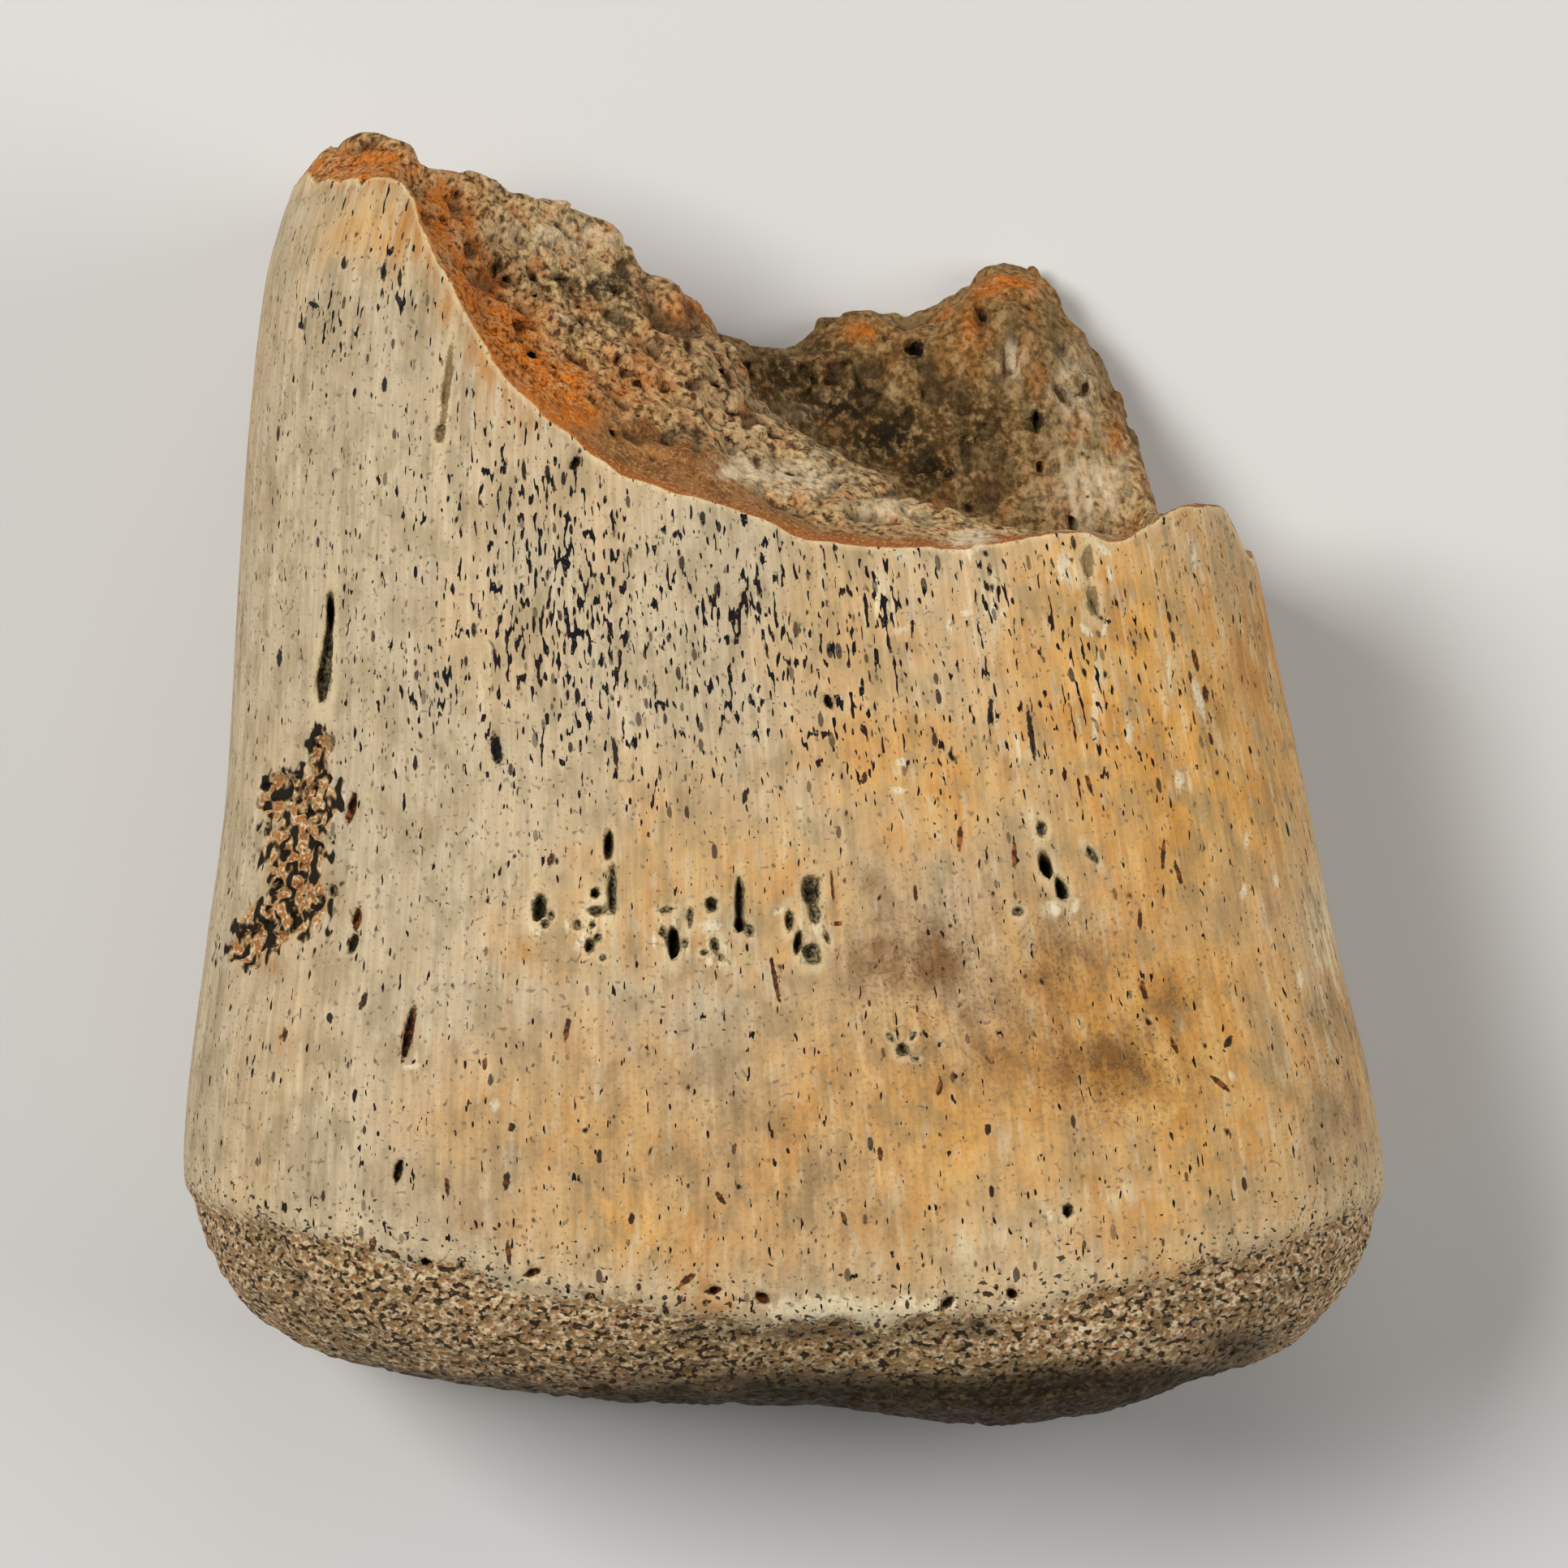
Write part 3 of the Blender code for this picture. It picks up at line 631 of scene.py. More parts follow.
x, y, z = at.T
centre, half_width, level, above, below = section(y)
fan = np.stack((17 * (x - centre) / half_width, y, 10 * (z - level) / above), axis=1)
know("grain", fan)
past_break = sampled(broken) - sampled(outer)
know("past_break_edge", past_break)
know("pitted", np.where(past_break > 0, sampled((knobs + holes) * knobbly), sampled(rim_grain * bare_rim)))
know("past_sheet_edge", curve_through(SHEET_EDGE, x) - y + sampled(ragged))
know("behind_front", behind_front(x, z))
know("sunk", -sampled(uncarved))
know("clouds", sampled(0.65 * relief((3.4, 4.8, 3.4), 10) + 0.35 * relief((1.5, 2.4, 1.5), 11)))
# x and how far the smooth band of dense bone reaches behind the break's front edge
DENSE_BAND = (
    (-15, 0.1), (-8.5, 0.2), (-7.2, 0.8), (-6.4, 1.8), (-4, 3.2), (-2, 3), (0, 1.6), (3, 0.8), (15, 0.4),
)
know("past_dense", behind_front(x, z) - curve_through(DENSE_BAND, x))
# x and the y at which the joint end's painted shade, partly dirt, starts
JOINT_SHADE = ((-18, -16.4), (-12, -17.3), (-9, -17.5), (0, -17.3), (4, -17.2), (8, -16.8), (18, -17.3))
dish = joint_surface(x, z) - curve_through(JOINT_RIM, x) - JOINT_SLANT * z
know("past_rim", curve_through(JOINT_SHADE, x) - y + dish + 0.5 * sampled(ragged))
print("points that know their place:", len(at))

# %% [markdown]
# ## Stains
# The sheet is cream where it is dense and clean, and ochre where iron has soaked in, mostly on the right and
# towards the joint. There are brown smudges, chalky spots and orange rust. The dark spots are partly dirt and
# partly painted shade, in the marrow hollow and in holes of the break, with a painted shadow under the
# sheet's lip and painted shade along the joint end. The fine vessel openings crowd under the break. Each
# stain is a list of places that fall off softly: x, y, half width and half length in mm, and strength.

# %% Places of the stains
OCHRE = (
    (11, 2, 5.5, 9, 1), (11, -9, 6.5, 7, 0.95), (4.5, 0, 4.5, 3, 0.9), (-1.5, -3, 5, 3.4, 0.8),
    (2, -10, 6, 4.5, 0.8), (-6, -9.5, 5, 4, 0.5), (-4, -13, 5, 2, 0.65), (-6.5, -4.5, 3, 2, 0.6),
    (-12.5, 16.5, 2, 1.5, 0.6), (3, 4, 3.5, 3, 0.5),
)
# the widest spot, at x -1, only makes the lower middle of the face darker; the one at x 16.4 darkens the
# right side strip, partly as painted shade
SMUDGE = (
    (-1, -10.5, 9, 4.5, 0.26), (3.9, -5.2, 2.6, 1.5, 0.9), (2.6, -3, 1.2, 0.9, 0.4),
    (9.5, -8.3, 2.6, 1.7, 0.9), (7.9, -5.3, 1.8, 1.8, 0.7), (6.3, -6.6, 5.4, 3.4, 0.55),
    (16.4, -9, 1, 5, 0.35), (-0.5, -8.8, 1.4, 1, 0.25), (6, -7.9, 1.6, 1, 0.6), (11.2, -6.4, 1.4, 1, 0.6),
)
# the spot at x 16 is a painted highlight along the right border, where the face turns to the side
CHALK = (
    (1.3, -15.5, 2, 0.5, 1), (3.4, -15.3, 1.8, 0.35, 0.8), (9.2, 3, 0.3, 2.4, 0.35),
    (8.6, 6.3, 0.5, 0.8, 0.4), (11.2, 3.2, 0.3, 1.8, 0.3), (16, -4.5, 0.9, 5, 0.35),
    (3.4, 0.2, 0.6, 0.5, 0.3), (11.7, 0, 0.5, 0.5, 0.35), (2.9, 5.4, 1.4, 1.4, 0.35), (6, 5.4, 0.5, 1.5, 0.4),
    (-10.9, -8.2, 0.4, 0.5, 0.3), (-7.2, -4, 0.6, 0.8, 0.35), (-3.3, -4.6, 0.7, 0.9, 0.35),
    (-2, -4.9, 0.7, 0.6, 0.5), (8, -3.7, 0.5, 0.3, 0.4), (7.3, -1.2, 0.3, 0.6, 0.4),
    (9.4, -12, 1.4, 0.6, 0.3), (13.5, 1, 0.4, 4, 0.25), (0.7, -4.2, 0.8, 1.2, 0.35),
    (-5.5, -3.8, 0.7, 1.1, 0.35), (0.3, 9.1, 1.6, 0.8, 0.5), (-1.2, 9.3, 1.1, 0.5, 0.6),
    (3, 8.1, 1.2, 0.4, 0.5), (9.3, 9, 1.3, 2, 0.42), (8.8, 12, 0.9, 1.6, 0.4), (5.4, 7.2, 0.7, 0.3, 0.9),
    (-6.6, 16.4, 2.4, 0.7, 0.35), (6.9, 12.8, 0.6, 0.8, 0.4), (-13, -9, 1.5, 4, 0.22),
    (-4, -13.5, 5, 1.2, 0.22), (6, -13.5, 3, 1, 0.25),
)
RUST = (
    (-7.6, -4.9, 0.6, 0.5, 0.5), (-14.9, -7.6, 0.5, 0.8, 0.4), (-2.2, -15.2, 0.9, 0.3, 0.8),
    (-2.6, -14.6, 0.9, 0.5, 0.5), (13.6, 3.9, 0.5, 2, 0.5), (12.7, 1.5, 0.6, 1.4, 0.4),
    (-10.1, 0.6, 0.5, 0.4, 0.4), (-15.2, -4.3, 0.7, 0.6, 0.6), (-14.2, -2.6, 0.6, 1, 0.5),
    (-12.6, 18.3, 2.4, 0.9, 0.7), (-11.2, 16.4, 1, 1.2, 0.6), (-9.3, 14.4, 1.2, 1.8, 0.8),
    (-8.3, 12.9, 1.4, 1.6, 1), (-6.8, 11.5, 1.5, 1.3, 0.9), (-10.2, 16.6, 1.2, 1.6, 0.7),
    (-13.1, -3.6, 0.3, 0.5, 0.5), (6.7, 15.3, 1.8, 0.6, 0.7), (5.6, 13.8, 0.7, 1.2, 0.5),
    (2.4, 13.9, 1.4, 0.6, 0.55), (10, 10.6, 0.4, 0.9, 0.35), (-9.2, -12.8, 1.5, 0.5, 0.3),
    (-8.6, -5.4, 0.6, 0.7, 0.4), (-3, 14.2, 1.4, 1, 0.5), (4.5, 14.4, 1.4, 0.5, 0.45),
    (-14, -0.4, 0.5, 0.5, 0.4), (13.1, -5, 1.6, 3, 0.2), (14, 4, 0.9, 3, 0.5), (-15.2, -5.4, 0.5, 0.4, 0.5),
    (-4.5, 12, 2, 1.5, 0.4), (1.5, 14, 1.5, 0.6, 0.4),
)
# dark spots, partly dirt and partly painted shade: the marrow hollow, holes of the break, a painted shadow
# under the sheet's lip and painted shade along the joint end
DARK_DIRT_AND_SHADE = (
    (13.3, -16.6, 1.2, 0.6, 1), (-5.6, 14.8, 1.6, 0.45, 0.85), (0, 12.4, 1.5, 0.8, 0.8),
    (1.6, 11.4, 1.7, 1, 0.95), (3.1, 10.5, 1.8, 1.1, 1), (4.4, 9.6, 1.3, 0.8, 0.9), (4, 13.1, 0.4, 0.4, 1),
    (5.6, 10.8, 1.6, 1.5, 0.6), (-0.3, 12.2, 1.2, 0.8, 0.8), (7.6, 11, 0.3, 0.5, 0.9),
    (-8.6, 15.5, 0.3, 0.5, 0.8), (0.9, 13.3, 1, 0.8, 0.55), (1.2, -16.05, 2.6, 0.22, 0.9),
    (4.6, -15.9, 2, 0.2, 0.7), (0.5, -17.5, 8, 0.35, 0.6), (8, -17.2, 3, 0.5, 0.5),
)
VESSELS = (
    (-6.3, 5.2, 3.2, 3.4, 1), (-1.6, 4.6, 5, 3.6, 0.8), (2.9, 5.2, 1.3, 2, 1), (-10.4, 2.7, 1.5, 1.2, 0.9),
    (-13.4, 13.6, 1.3, 1, 0.75), (-11.4, 14.8, 1, 1.3, 0.6), (-7.4, 8.6, 2.2, 2.4, 0.75),
    (-5, 1.5, 5, 2, 0.6), (2, 2, 4, 2.4, 0.5), (-12, 8, 2.5, 4, 0.25), (6, 5.4, 0.6, 1.8, 0.95),
    (8, 3, 5, 4, 0.35),
)
WORN = [(x, y, 1.2 * wide, 1.2 * long, 1.0) for x, y, wide, long in WORN_PATCH]
STAINS = {
    "ochre": OCHRE, "smudge": SMUDGE, "chalk": CHALK, "rust": RUST,
    "dark": DARK_DIRT_AND_SHADE, "vessels": VESSELS, "worn": WORN,
}
print("places of each stain:", {name: len(spots) for name, spots in STAINS.items()})

# %% [markdown]
# ## Stain the skin
# A stain is strongest in the middle of its oval and fades out like a bell curve. It stays on the side that
# faces the camera, and runs further down only inside the break.

# %% Stain the skin
def soft_spots(spots):
    """How strongly each point lies in any of the spots, on the side that faces the camera."""
    strongest = np.zeros(len(at))
    for spot_x, spot_y, wide, long, strength in spots:
        spread_out = ((x - spot_x) / wide) ** 2 + ((y - spot_y) / long) ** 2
        strongest = np.maximum(strongest, strength * np.exp(-spread_out))
    in_the_break = smooth_step(6.5, 7.5, y) * smooth_step(0.5, 2.5, z)
    return strongest * np.maximum(smooth_step(4.0, 9.0, z), in_the_break)


for name, spots in STAINS.items():
    know(name, soft_spots(spots))
print("share of the skin with ochre in it:", round(float((soft_spots(OCHRE) > 0.2).mean()), 2))

# %% [markdown]
# ## Ovals with a crisp edge
# Slits, openings and flakes of chalk have crisp edges, finer than the mesh can hold. So each face looks up
# its nearest oval, and each corner of the face keeps its place in that oval's own frame, where the edge is
# at radius 1. The numbers run evenly across the face, so the material can draw the edge as sharp as it likes.

# %% Ovals for the material
# x, y, half width, half length, turn in degrees, strength
CHALK_CHIPS = (
    (12.2, 2.5, 0.14, 1, -16, 0.9), (8.2, 6.4, 0.26, 0.55, 4, 1), (9.35, 6.9, 0.16, 0.38, -46, 1),
    (9.55, 6.2, 0.1, 0.28, -17, 1), (8.85, 4.5, 0.13, 0.3, -47, 0.9), (9.4, 4.6, 0.1, 0.35, 19, 0.9),
    (10.1, 1.5, 0.15, 0.45, -4, 0.9), (11.6, 0.1, 0.17, 0.36, -2, 0.9), (11.3, 3.4, 0.07, 0.45, -6, 0.8),
    (13.5, -3.2, 0.12, 0.3, 10, 0.9), (13.6, -1.7, 0.1, 0.27, 2, 0.8), (14.5, -2.9, 0.11, 0.26, -6, 0.8),
    (15.2, -5.8, 0.12, 0.35, -4, 0.8), (3.4, 6.7, 0.2, 0.35, -32, 0.7), (5.4, 6.8, 0.13, 0.3, -12, 0.9),
    (6.35, 5, 0.11, 0.28, 44, 0.7), (5.3, 5, 0.13, 0.2, 85, 0.7), (4.8, 4.6, 0.1, 0.28, -15, 0.7),
    (3.4, 4.5, 0.12, 0.35, 65, 0.6), (-6.2, 4.4, 0.18, 0.28, -8, 0.6), (-6.8, 5, 0.1, 0.42, -1, 0.6),
    (6.8, 1.1, 0.08, 0.6, -9, 0.8), (-2.2, -4.2, 0.26, 0.4, -87, 0.8), (7.85, -3.65, 0.2, 0.3, -53, 1),
    (8.5, -3.6, 0.14, 0.42, 25, 0.7), (-6, -4.6, 0.14, 0.36, 30, 0.9), (-0.2, -3.75, 0.16, 0.22, 61, 0.7),
    (-7.35, -4.3, 0.12, 0.32, -38, 0.7), (-3.85, -4.6, 0.1, 0.3, 2, 0.8), (-6.4, -4.2, 0.12, 0.22, -19, 0.8),
    (-8.5, -9.4, 0.17, 0.22, 0, 0.9), (-11, -8.3, 0.1, 0.32, 81, 0.8), (-8.1, -14.7, 0.15, 0.2, -88, 0.8),
    (1.1, -15.6, 0.23, 0.5, 72, 1), (2.15, -15.55, 0.24, 0.3, -58, 0.9), (2.95, -15.5, 0.16, 0.25, 62, 0.8),
    (6.5, -15.2, 0.18, 0.4, 78, 0.7), (6.75, -14.5, 0.12, 0.36, -38, 0.8), (7.7, -12.6, 0.12, 0.27, -12, 0.7),
    (11.6, -14.6, 0.1, 0.28, 84, 0.6), (-6.4, -14.9, 0.15, 0.18, 9, 0.7), (3.4, 0.6, 0.2, 0.2, 45, 0.9),
    (3.3, -0.2, 0.3, 0.13, 0, 0.8), (9.1, 2.2, 0.12, 1.5, 0, 0.6), (-13.1, -0.6, 0.18, 0.6, 24, 0.6),
    (13.1, -8.6, 0.1, 0.2, -33, 0.8), (12.1, 6.6, 0.1, 0.5, 0, 0.7), (6.1, 4.7, 0.12, 1.3, 0, 0.5),
)

corner_point = np.empty(len(mesh.loops), np.int32)
mesh.loops.foreach_get("vertex_index", corner_point)
corners_a_face = np.empty(len(mesh.polygons), np.int32)
mesh.polygons.foreach_get("loop_total", corners_a_face)
face_of_corner = np.repeat(np.arange(len(mesh.polygons)), corners_a_face)
middles = np.empty(len(mesh.polygons) * 3, np.float32)
mesh.polygons.foreach_get("center", middles)
middles = middles.reshape(-1, 3) / MM
FAR_OUTSIDE = 9.0


def draw_ovals(name, ovals):
    """Gives each face's corners their place in the nearest oval's frame, and the oval's last number."""
    nearest, least = np.zeros(len(middles), int), np.full(len(middles), 1e9)
    for i, oval in enumerate(ovals):
        radius = np.hypot(*in_oval(middles[:, 0], middles[:, 1], oval))
        nearest = np.where(radius < least, i, nearest)
        least = np.minimum(radius, least)
    oval = np.array(ovals, float)[nearest[face_of_corner]].T
    across, along = in_oval(x[corner_point], y[corner_point], oval)
    faces_up = middles[face_of_corner, 2] > 6
    places = np.where(faces_up, (across, along, oval[5]), FAR_OUTSIDE).T
    kept = mesh.attributes.new(name, "FLOAT_VECTOR", "CORNER")
    kept.data.foreach_set("vector", np.ravel(places).astype(np.float32))


draw_ovals("slits", SLITS)
draw_ovals("openings", VESSEL_OPENINGS + GROOVES)
draw_ovals("chips", CHALK_CHIPS)
print("ovals drawn:", len(SLITS + VESSEL_OPENINGS + GROOVES + CHALK_CHIPS))

# %% [markdown]
# ## Fossil bone
# The stone is mineralised bone, cleaned with needles and left unpolished. Seen close, its outer sheet is
# made of fibres that run along the bone, with dark dashes where blood vessels opened. Under the sheet the
# bone is spongy: a net of struts with pores between them. Iron has stained the break orange, and fine dark
# dirt sits in every hollow. A material of noise patterns, stretched along the grain and gated by the facts
# at each point, gives all of this without a single picture. One small function adds every node, and another
# lays coats of colour over one another, as a restorer tints a cast.

# %% Tools for the material
def linear(hex_colour):
    """An sRGB colour, such as "#c4b08f", as the linear values that Blender works in."""
    channels = [int(hex_colour[i:i + 2], 16) / 255 for i in (1, 3, 5)]
    return (*(c / 12.92 if c <= 0.04045 else ((c + 0.055) / 1.055) ** 2.4 for c in channels), 1.0)


fossil_bone = bpy.data.materials.new("fossil_bone_mineralised")
fossil_bone.use_nodes = True
tree = fossil_bone.node_tree
tree.nodes.clear()


def add(kind, *inputs, out=0, **settings):
    """Adds a node and gives one output. Inputs are values or sockets, in order or by name in a dictionary."""
    node = tree.nodes.new("ShaderNode" + kind)
    for name, value in settings.items():
        setattr(node, name, value)
    named = inputs[0] if inputs and isinstance(inputs[0], dict) else dict(enumerate(inputs))
    for name, value in named.items():
        if isinstance(value, bpy.types.NodeSocket):
            tree.links.new(value, node.inputs[name])
        else:
            node.inputs[name].default_value = value
    return node.outputs[out]


def coats(colour, *layers):
    """Thin coats over a colour: tint, its pattern, where that starts, where it is full, how thick."""
    for tint, pattern, starts, full, thickness in layers:
        share = add("MapRange", pattern, starts, full, 0.0, thickness)
        top = linear(tint) if isinstance(tint, str) else tint
        colour = add("Mix", {0: share, 6: colour, 7: top}, out=2, data_type="RGBA")
    return colour


grain = add("Attribute", out="Vector", attribute_name="grain")
ochre, smudge, chalk, rust, dark, vessels, worn = (
    add("Attribute", out="Fac", attribute_name=name) for name in STAINS
)
FACTS = (
    "past_break_edge", "past_sheet_edge", "past_dense", "past_rim",
    "behind_front", "sunk", "pitted", "clouds",
)
past_break_edge, past_sheet_edge, past_dense, past_rim, behind, sunk, pitted, clouds = (
    add("Attribute", out="Fac", attribute_name=name) for name in FACTS
)


def patches(across, along, detail=2.0, roughness=0.5):
    """A random pattern with that grain size in mm across and along the bone, 0.5 on the whole."""
    place = add("VectorMath", grain, (1 / across, 1 / along, 1 / across), operation="MULTIPLY")
    return add("TexNoise", {"Vector": place, "Scale": 1.0, "Detail": detail, "Roughness": roughness})


blotches = patches(0.9, 1.5, 3.0, 0.6)
mottle = patches(1.6, 2.4, 2.0, 0.5)
streaks = patches(0.32, 1.6, 2.0, 0.6)
grit = patches(0.20, 0.20, 1.0, 0.6)
fine_grit = patches(0.12, 0.13, 1.0, 0.5)
rim_pores = patches(0.20, 0.17, 1.0, 0.5)
print("tools ready for", fossil_bone.name)

# %% [markdown]
# ### Vessel openings too fine to carve
# They are dashes 0.1 to 0.2 mm wide and about half a millimetre long, all along the grain. Where they crowd,
# a stretched noise pattern cut off high gives their ragged shapes, and the crowding lowers the cut. Single
# dashes are scattered everywhere. For those a Voronoi pattern puts one point in each stretched cell, and
# each cell draws a random number that says whether it gets a dash, and others for its size and tone. Specks
# above the joint end are the rim's own pores, which thin out over the sheet's edge.

# %% Vessel dashes
def dashes(across, along, crowding, shift, faintest):
    """How plainly a ragged dash marks each point: 0 outside it, and inside from faintest to 1."""
    cell = (1 / across, 1 / along, 1 / across)
    place = add("VectorMath", grain, cell, (shift, shift, shift), operation="MULTIPLY_ADD")
    distance = add("TexVoronoi", {"Vector": place, "Scale": 1.0}, out="Distance")
    draws = add("SeparateXYZ", distance.node.outputs["Color"]).node.outputs
    chosen = add("Math", draws["X"], crowding, operation="LESS_THAN")
    reach = add("MapRange", draws["Y"], 0.0, 1.0, 0.06, 0.30)
    plainness = add("MapRange", draws["Z"], 0.0, 1.0, faintest, 1.0)
    inner = add("Math", reach, distance, operation="SUBTRACT")
    inside = add("Math", grit, 0.2, inner, operation="MULTIPLY_ADD")
    return add("MapRange", inside, 0.0, 0.06, 0.0, add("Math", chosen, plainness, operation="MULTIPLY"))


def ovals_of(name, raggedness):
    """The mesh's ovals, 1 in the middle and 0 at a ragged edge, and each oval's last number."""
    place = add("Attribute", out="Vector", attribute_name=name)
    flat = add("VectorMath", place, (1.0, 1.0, 0.0), operation="MULTIPLY")
    radius = add("VectorMath", flat, out="Value", operation="LENGTH")
    inner = add("Math", 1.0 - 0.5 * raggedness, radius, operation="SUBTRACT")
    inside = add("Math", fine_grit, raggedness, inner, operation="MULTIPLY_ADD")
    return inside, add("SeparateXYZ", place, out="Z")


crowding = add("Math", vessels, add("MapRange", clouds, -0.6, 0.6, 0.7, 1.2), operation="MULTIPLY")
flecks = add("Math", crowding, 0.163, patches(0.125, 0.42, 0.8, 0.5), operation="MULTIPLY_ADD")
fine_dashes = add("MapRange", flecks, 0.71, 0.72, 0.0, 1.0)
near_rim = add("MapRange", past_sheet_edge, -2.4, -0.2, 0.05, 0.25)
few_dashes = dashes(0.27, 0.65, add("Math", crowding, 0.45, near_rim, operation="MULTIPLY_ADD"), 11.0, 0.5)
thinning = add("MapRange", past_sheet_edge, -2.4, -0.1, 0.15, 0.0)
rim_specks = add("MapRange", add("Math", rim_pores, thinning), 0.39, 0.36, 0.0, 0.9)
scattered = add("Math", few_dashes, rim_specks, operation="MAXIMUM")
slit_place, slit_redness = ovals_of("slits", 0.9)
slits = add("MapRange", slit_place, 0.0, 0.2, 0.0, 0.95)
vessel_marks = add("Math", fine_dashes, scattered, operation="MAXIMUM")
print("nodes so far:", len(tree.nodes))

# %% [markdown]
# ### The outer sheet
# From below upwards: the body colour runs from cream to ochre, broken up by clouds. Grey and yellow blotches
# and pale streaks lie over it, then brown smudges, a cream lip at the joint end, chalk, flakes and rust, and
# a pale line along the break. Dots a tenth of a millimetre wide are the pores between the fibres. The fibres,
# 0.15 mm and 0.6 mm wide, lighten and darken all of it along the grain, and the dashes come last.

# %% Outer sheet
fibres = patches(0.15, 5.0, 2.0, 0.55)
broad_fibres = patches(0.6, 12.0, 1.0, 0.5)
dots = add("Math", clouds, -0.05, patches(0.15, 0.17, 0.0, 0.5), operation="MULTIPLY_ADD")

soaked = add("Math", clouds, 0.45, ochre, operation="MULTIPLY_ADD")
chalky = add("Math", chalk, 0.40, streaks, operation="MULTIPLY_ADD")
rusty = add("Math", rust, 0.40, blotches, operation="MULTIPLY_ADD")
rusty_streaks = add("Math", rust, 0.40, streaks, operation="MULTIPLY_ADD")
chip_place, chip_strength = ovals_of("chips", 1.6)
sheet = coats(
    linear("#c4b08f"),
    ("#d8a052", soaked, 0.0, 1.0, 1.0),
    ("#a38c68", mottle, 0.50, 0.64, add("MapRange", ochre, 0.2, 0.9, 0.45, 0.35)),
    ("#c4863c", mottle, 0.50, 0.40, add("Math", ochre, 0.65, operation="MULTIPLY")),
    ("#94835f", blotches, 0.52, 0.62, 0.45),
    ("#ddb878", blotches, 0.47, 0.36, add("Math", ochre, 0.45, operation="MULTIPLY")),
    ("#9c8763", streaks, 0.55, 0.68, 0.3),
    ("#d9caaa", streaks, 0.43, 0.32, 0.35),
    # brown smudges; their spots also darken the lower middle and, partly as painted shade, the right side
    # strip
    ("#74481a", blotches, 0.25, 0.60, smudge),
    ("#4f3216", fine_grit, 0.52, 0.62, add("Math", smudge, 0.6, operation="MULTIPLY")),
    ("#e2cca2", past_sheet_edge, -1.5, -0.5, add("MapRange", streaks, 0.42, 0.55, 0.1, 0.45)),
    # chalk, and along the right border a painted highlight
    ("#e6d4ac", chalky, 0.60, 0.72, add("MapRange", chalk, 0.05, 0.35, 0.0, 0.8)),
    ("#e2d3b2", chip_place, 0.0, 0.6, chip_strength),
    ("#b3742a", rusty_streaks, 0.56, 0.80, add("MapRange", rust, 0.05, 0.4, 0.0, 0.65)),
    ("#e0c896", past_break_edge, -0.20, -0.04, 0.6),
    ("#4a4540", dots, 0.73, 0.77, 0.5),
)
fibre_tone = add("MapRange", fibres, 0.25, 0.75, 0.85, 1.15)
tone = add("Math", fibre_tone, add("MapRange", broad_fibres, 0.3, 0.7, 0.93, 1.07), operation="MULTIPLY")
sheet = add("VectorMath", {0: sheet, "Scale": tone}, operation="SCALE")
red_marks = add("MapRange", ochre, 0.1, 0.7, 0.25, 0.95)
dash_tint = coats(linear("#0b0d12"), ("#36170b", blotches, 0.48, 0.58, red_marks))
slit_tint = coats(
    linear("#0e0e10"),
    ("#4a2310", slit_redness, 0.2, 1.0, 0.9),
    ("#b0601f", grit, 0.52, 0.62, add("Math", slit_redness, 0.8, operation="MULTIPLY")),
)
sheet = coats(sheet, (dash_tint, vessel_marks, 0.0, 1.0, 1.0))
print("nodes so far:", len(tree.nodes))

# %% [markdown]
# ### Spongy bone
# On the rim and in the break the net of struts lies open. Its grain is 0.2 mm on the rim and 0.25 mm in the
# break, tan where the struts catch dust and dark in the pores. Fine dirt fills the hollows, brown with paler
# grains.

# %% Spongy bone
sponge = patches(0.25, 0.25, 2.0, 0.6)

rim = coats(
    linear("#9b7e55"),
    ("#dfc69d", grit, 0.46, 0.60, 1.0),
    ("#a8622c", fine_grit, 0.55, 0.62, 0.6),
    ("#6b5c3c", clouds, 0.0, 0.6, 0.4),
    ("#20180e", rim_pores, 0.45, 0.39, 0.92),
    # painted shade: the rim's dents are darker
    ("#1a130a", pitted, 0.04, 0.14, 0.6),
    # painted shade, partly dirt: the joint end past the JOINT_SHADE line is darkened
    ("#281c03", past_rim, -0.2, 0.6, add("MapRange", rim_pores, 0.40, 0.62, 0.97, 0.86)),
    ("#c0742f", blotches, 0.40, 0.60, rust),
    # the dark spots on the rim: a painted shadow under the lip and painted shade along the joint end, partly
    # dirt
    ("#1c160b", grit, 0.30, 0.60, dark),
)
net = coats(
    linear("#a3804f"),
    ("#d4b07e", sponge, 0.48, 0.62, 0.9),
    ("#7a7250", blotches, 0.52, 0.60, 0.65),
    ("#b3946a", clouds, 0.05, 0.45, 0.45),
    ("#b5662a", blotches, 0.46, 0.38, 0.5),
    ("#6a4d2d", sponge, 0.49, 0.40, 0.8),
)
dirt = coats(
    linear("#4f472e"),
    ("#a3946c", fine_grit, 0.50, 0.62, 0.8),
    ("#100e0a", fine_grit, 0.49, 0.41, 0.9),
)
print("nodes so far:", len(tree.nodes))
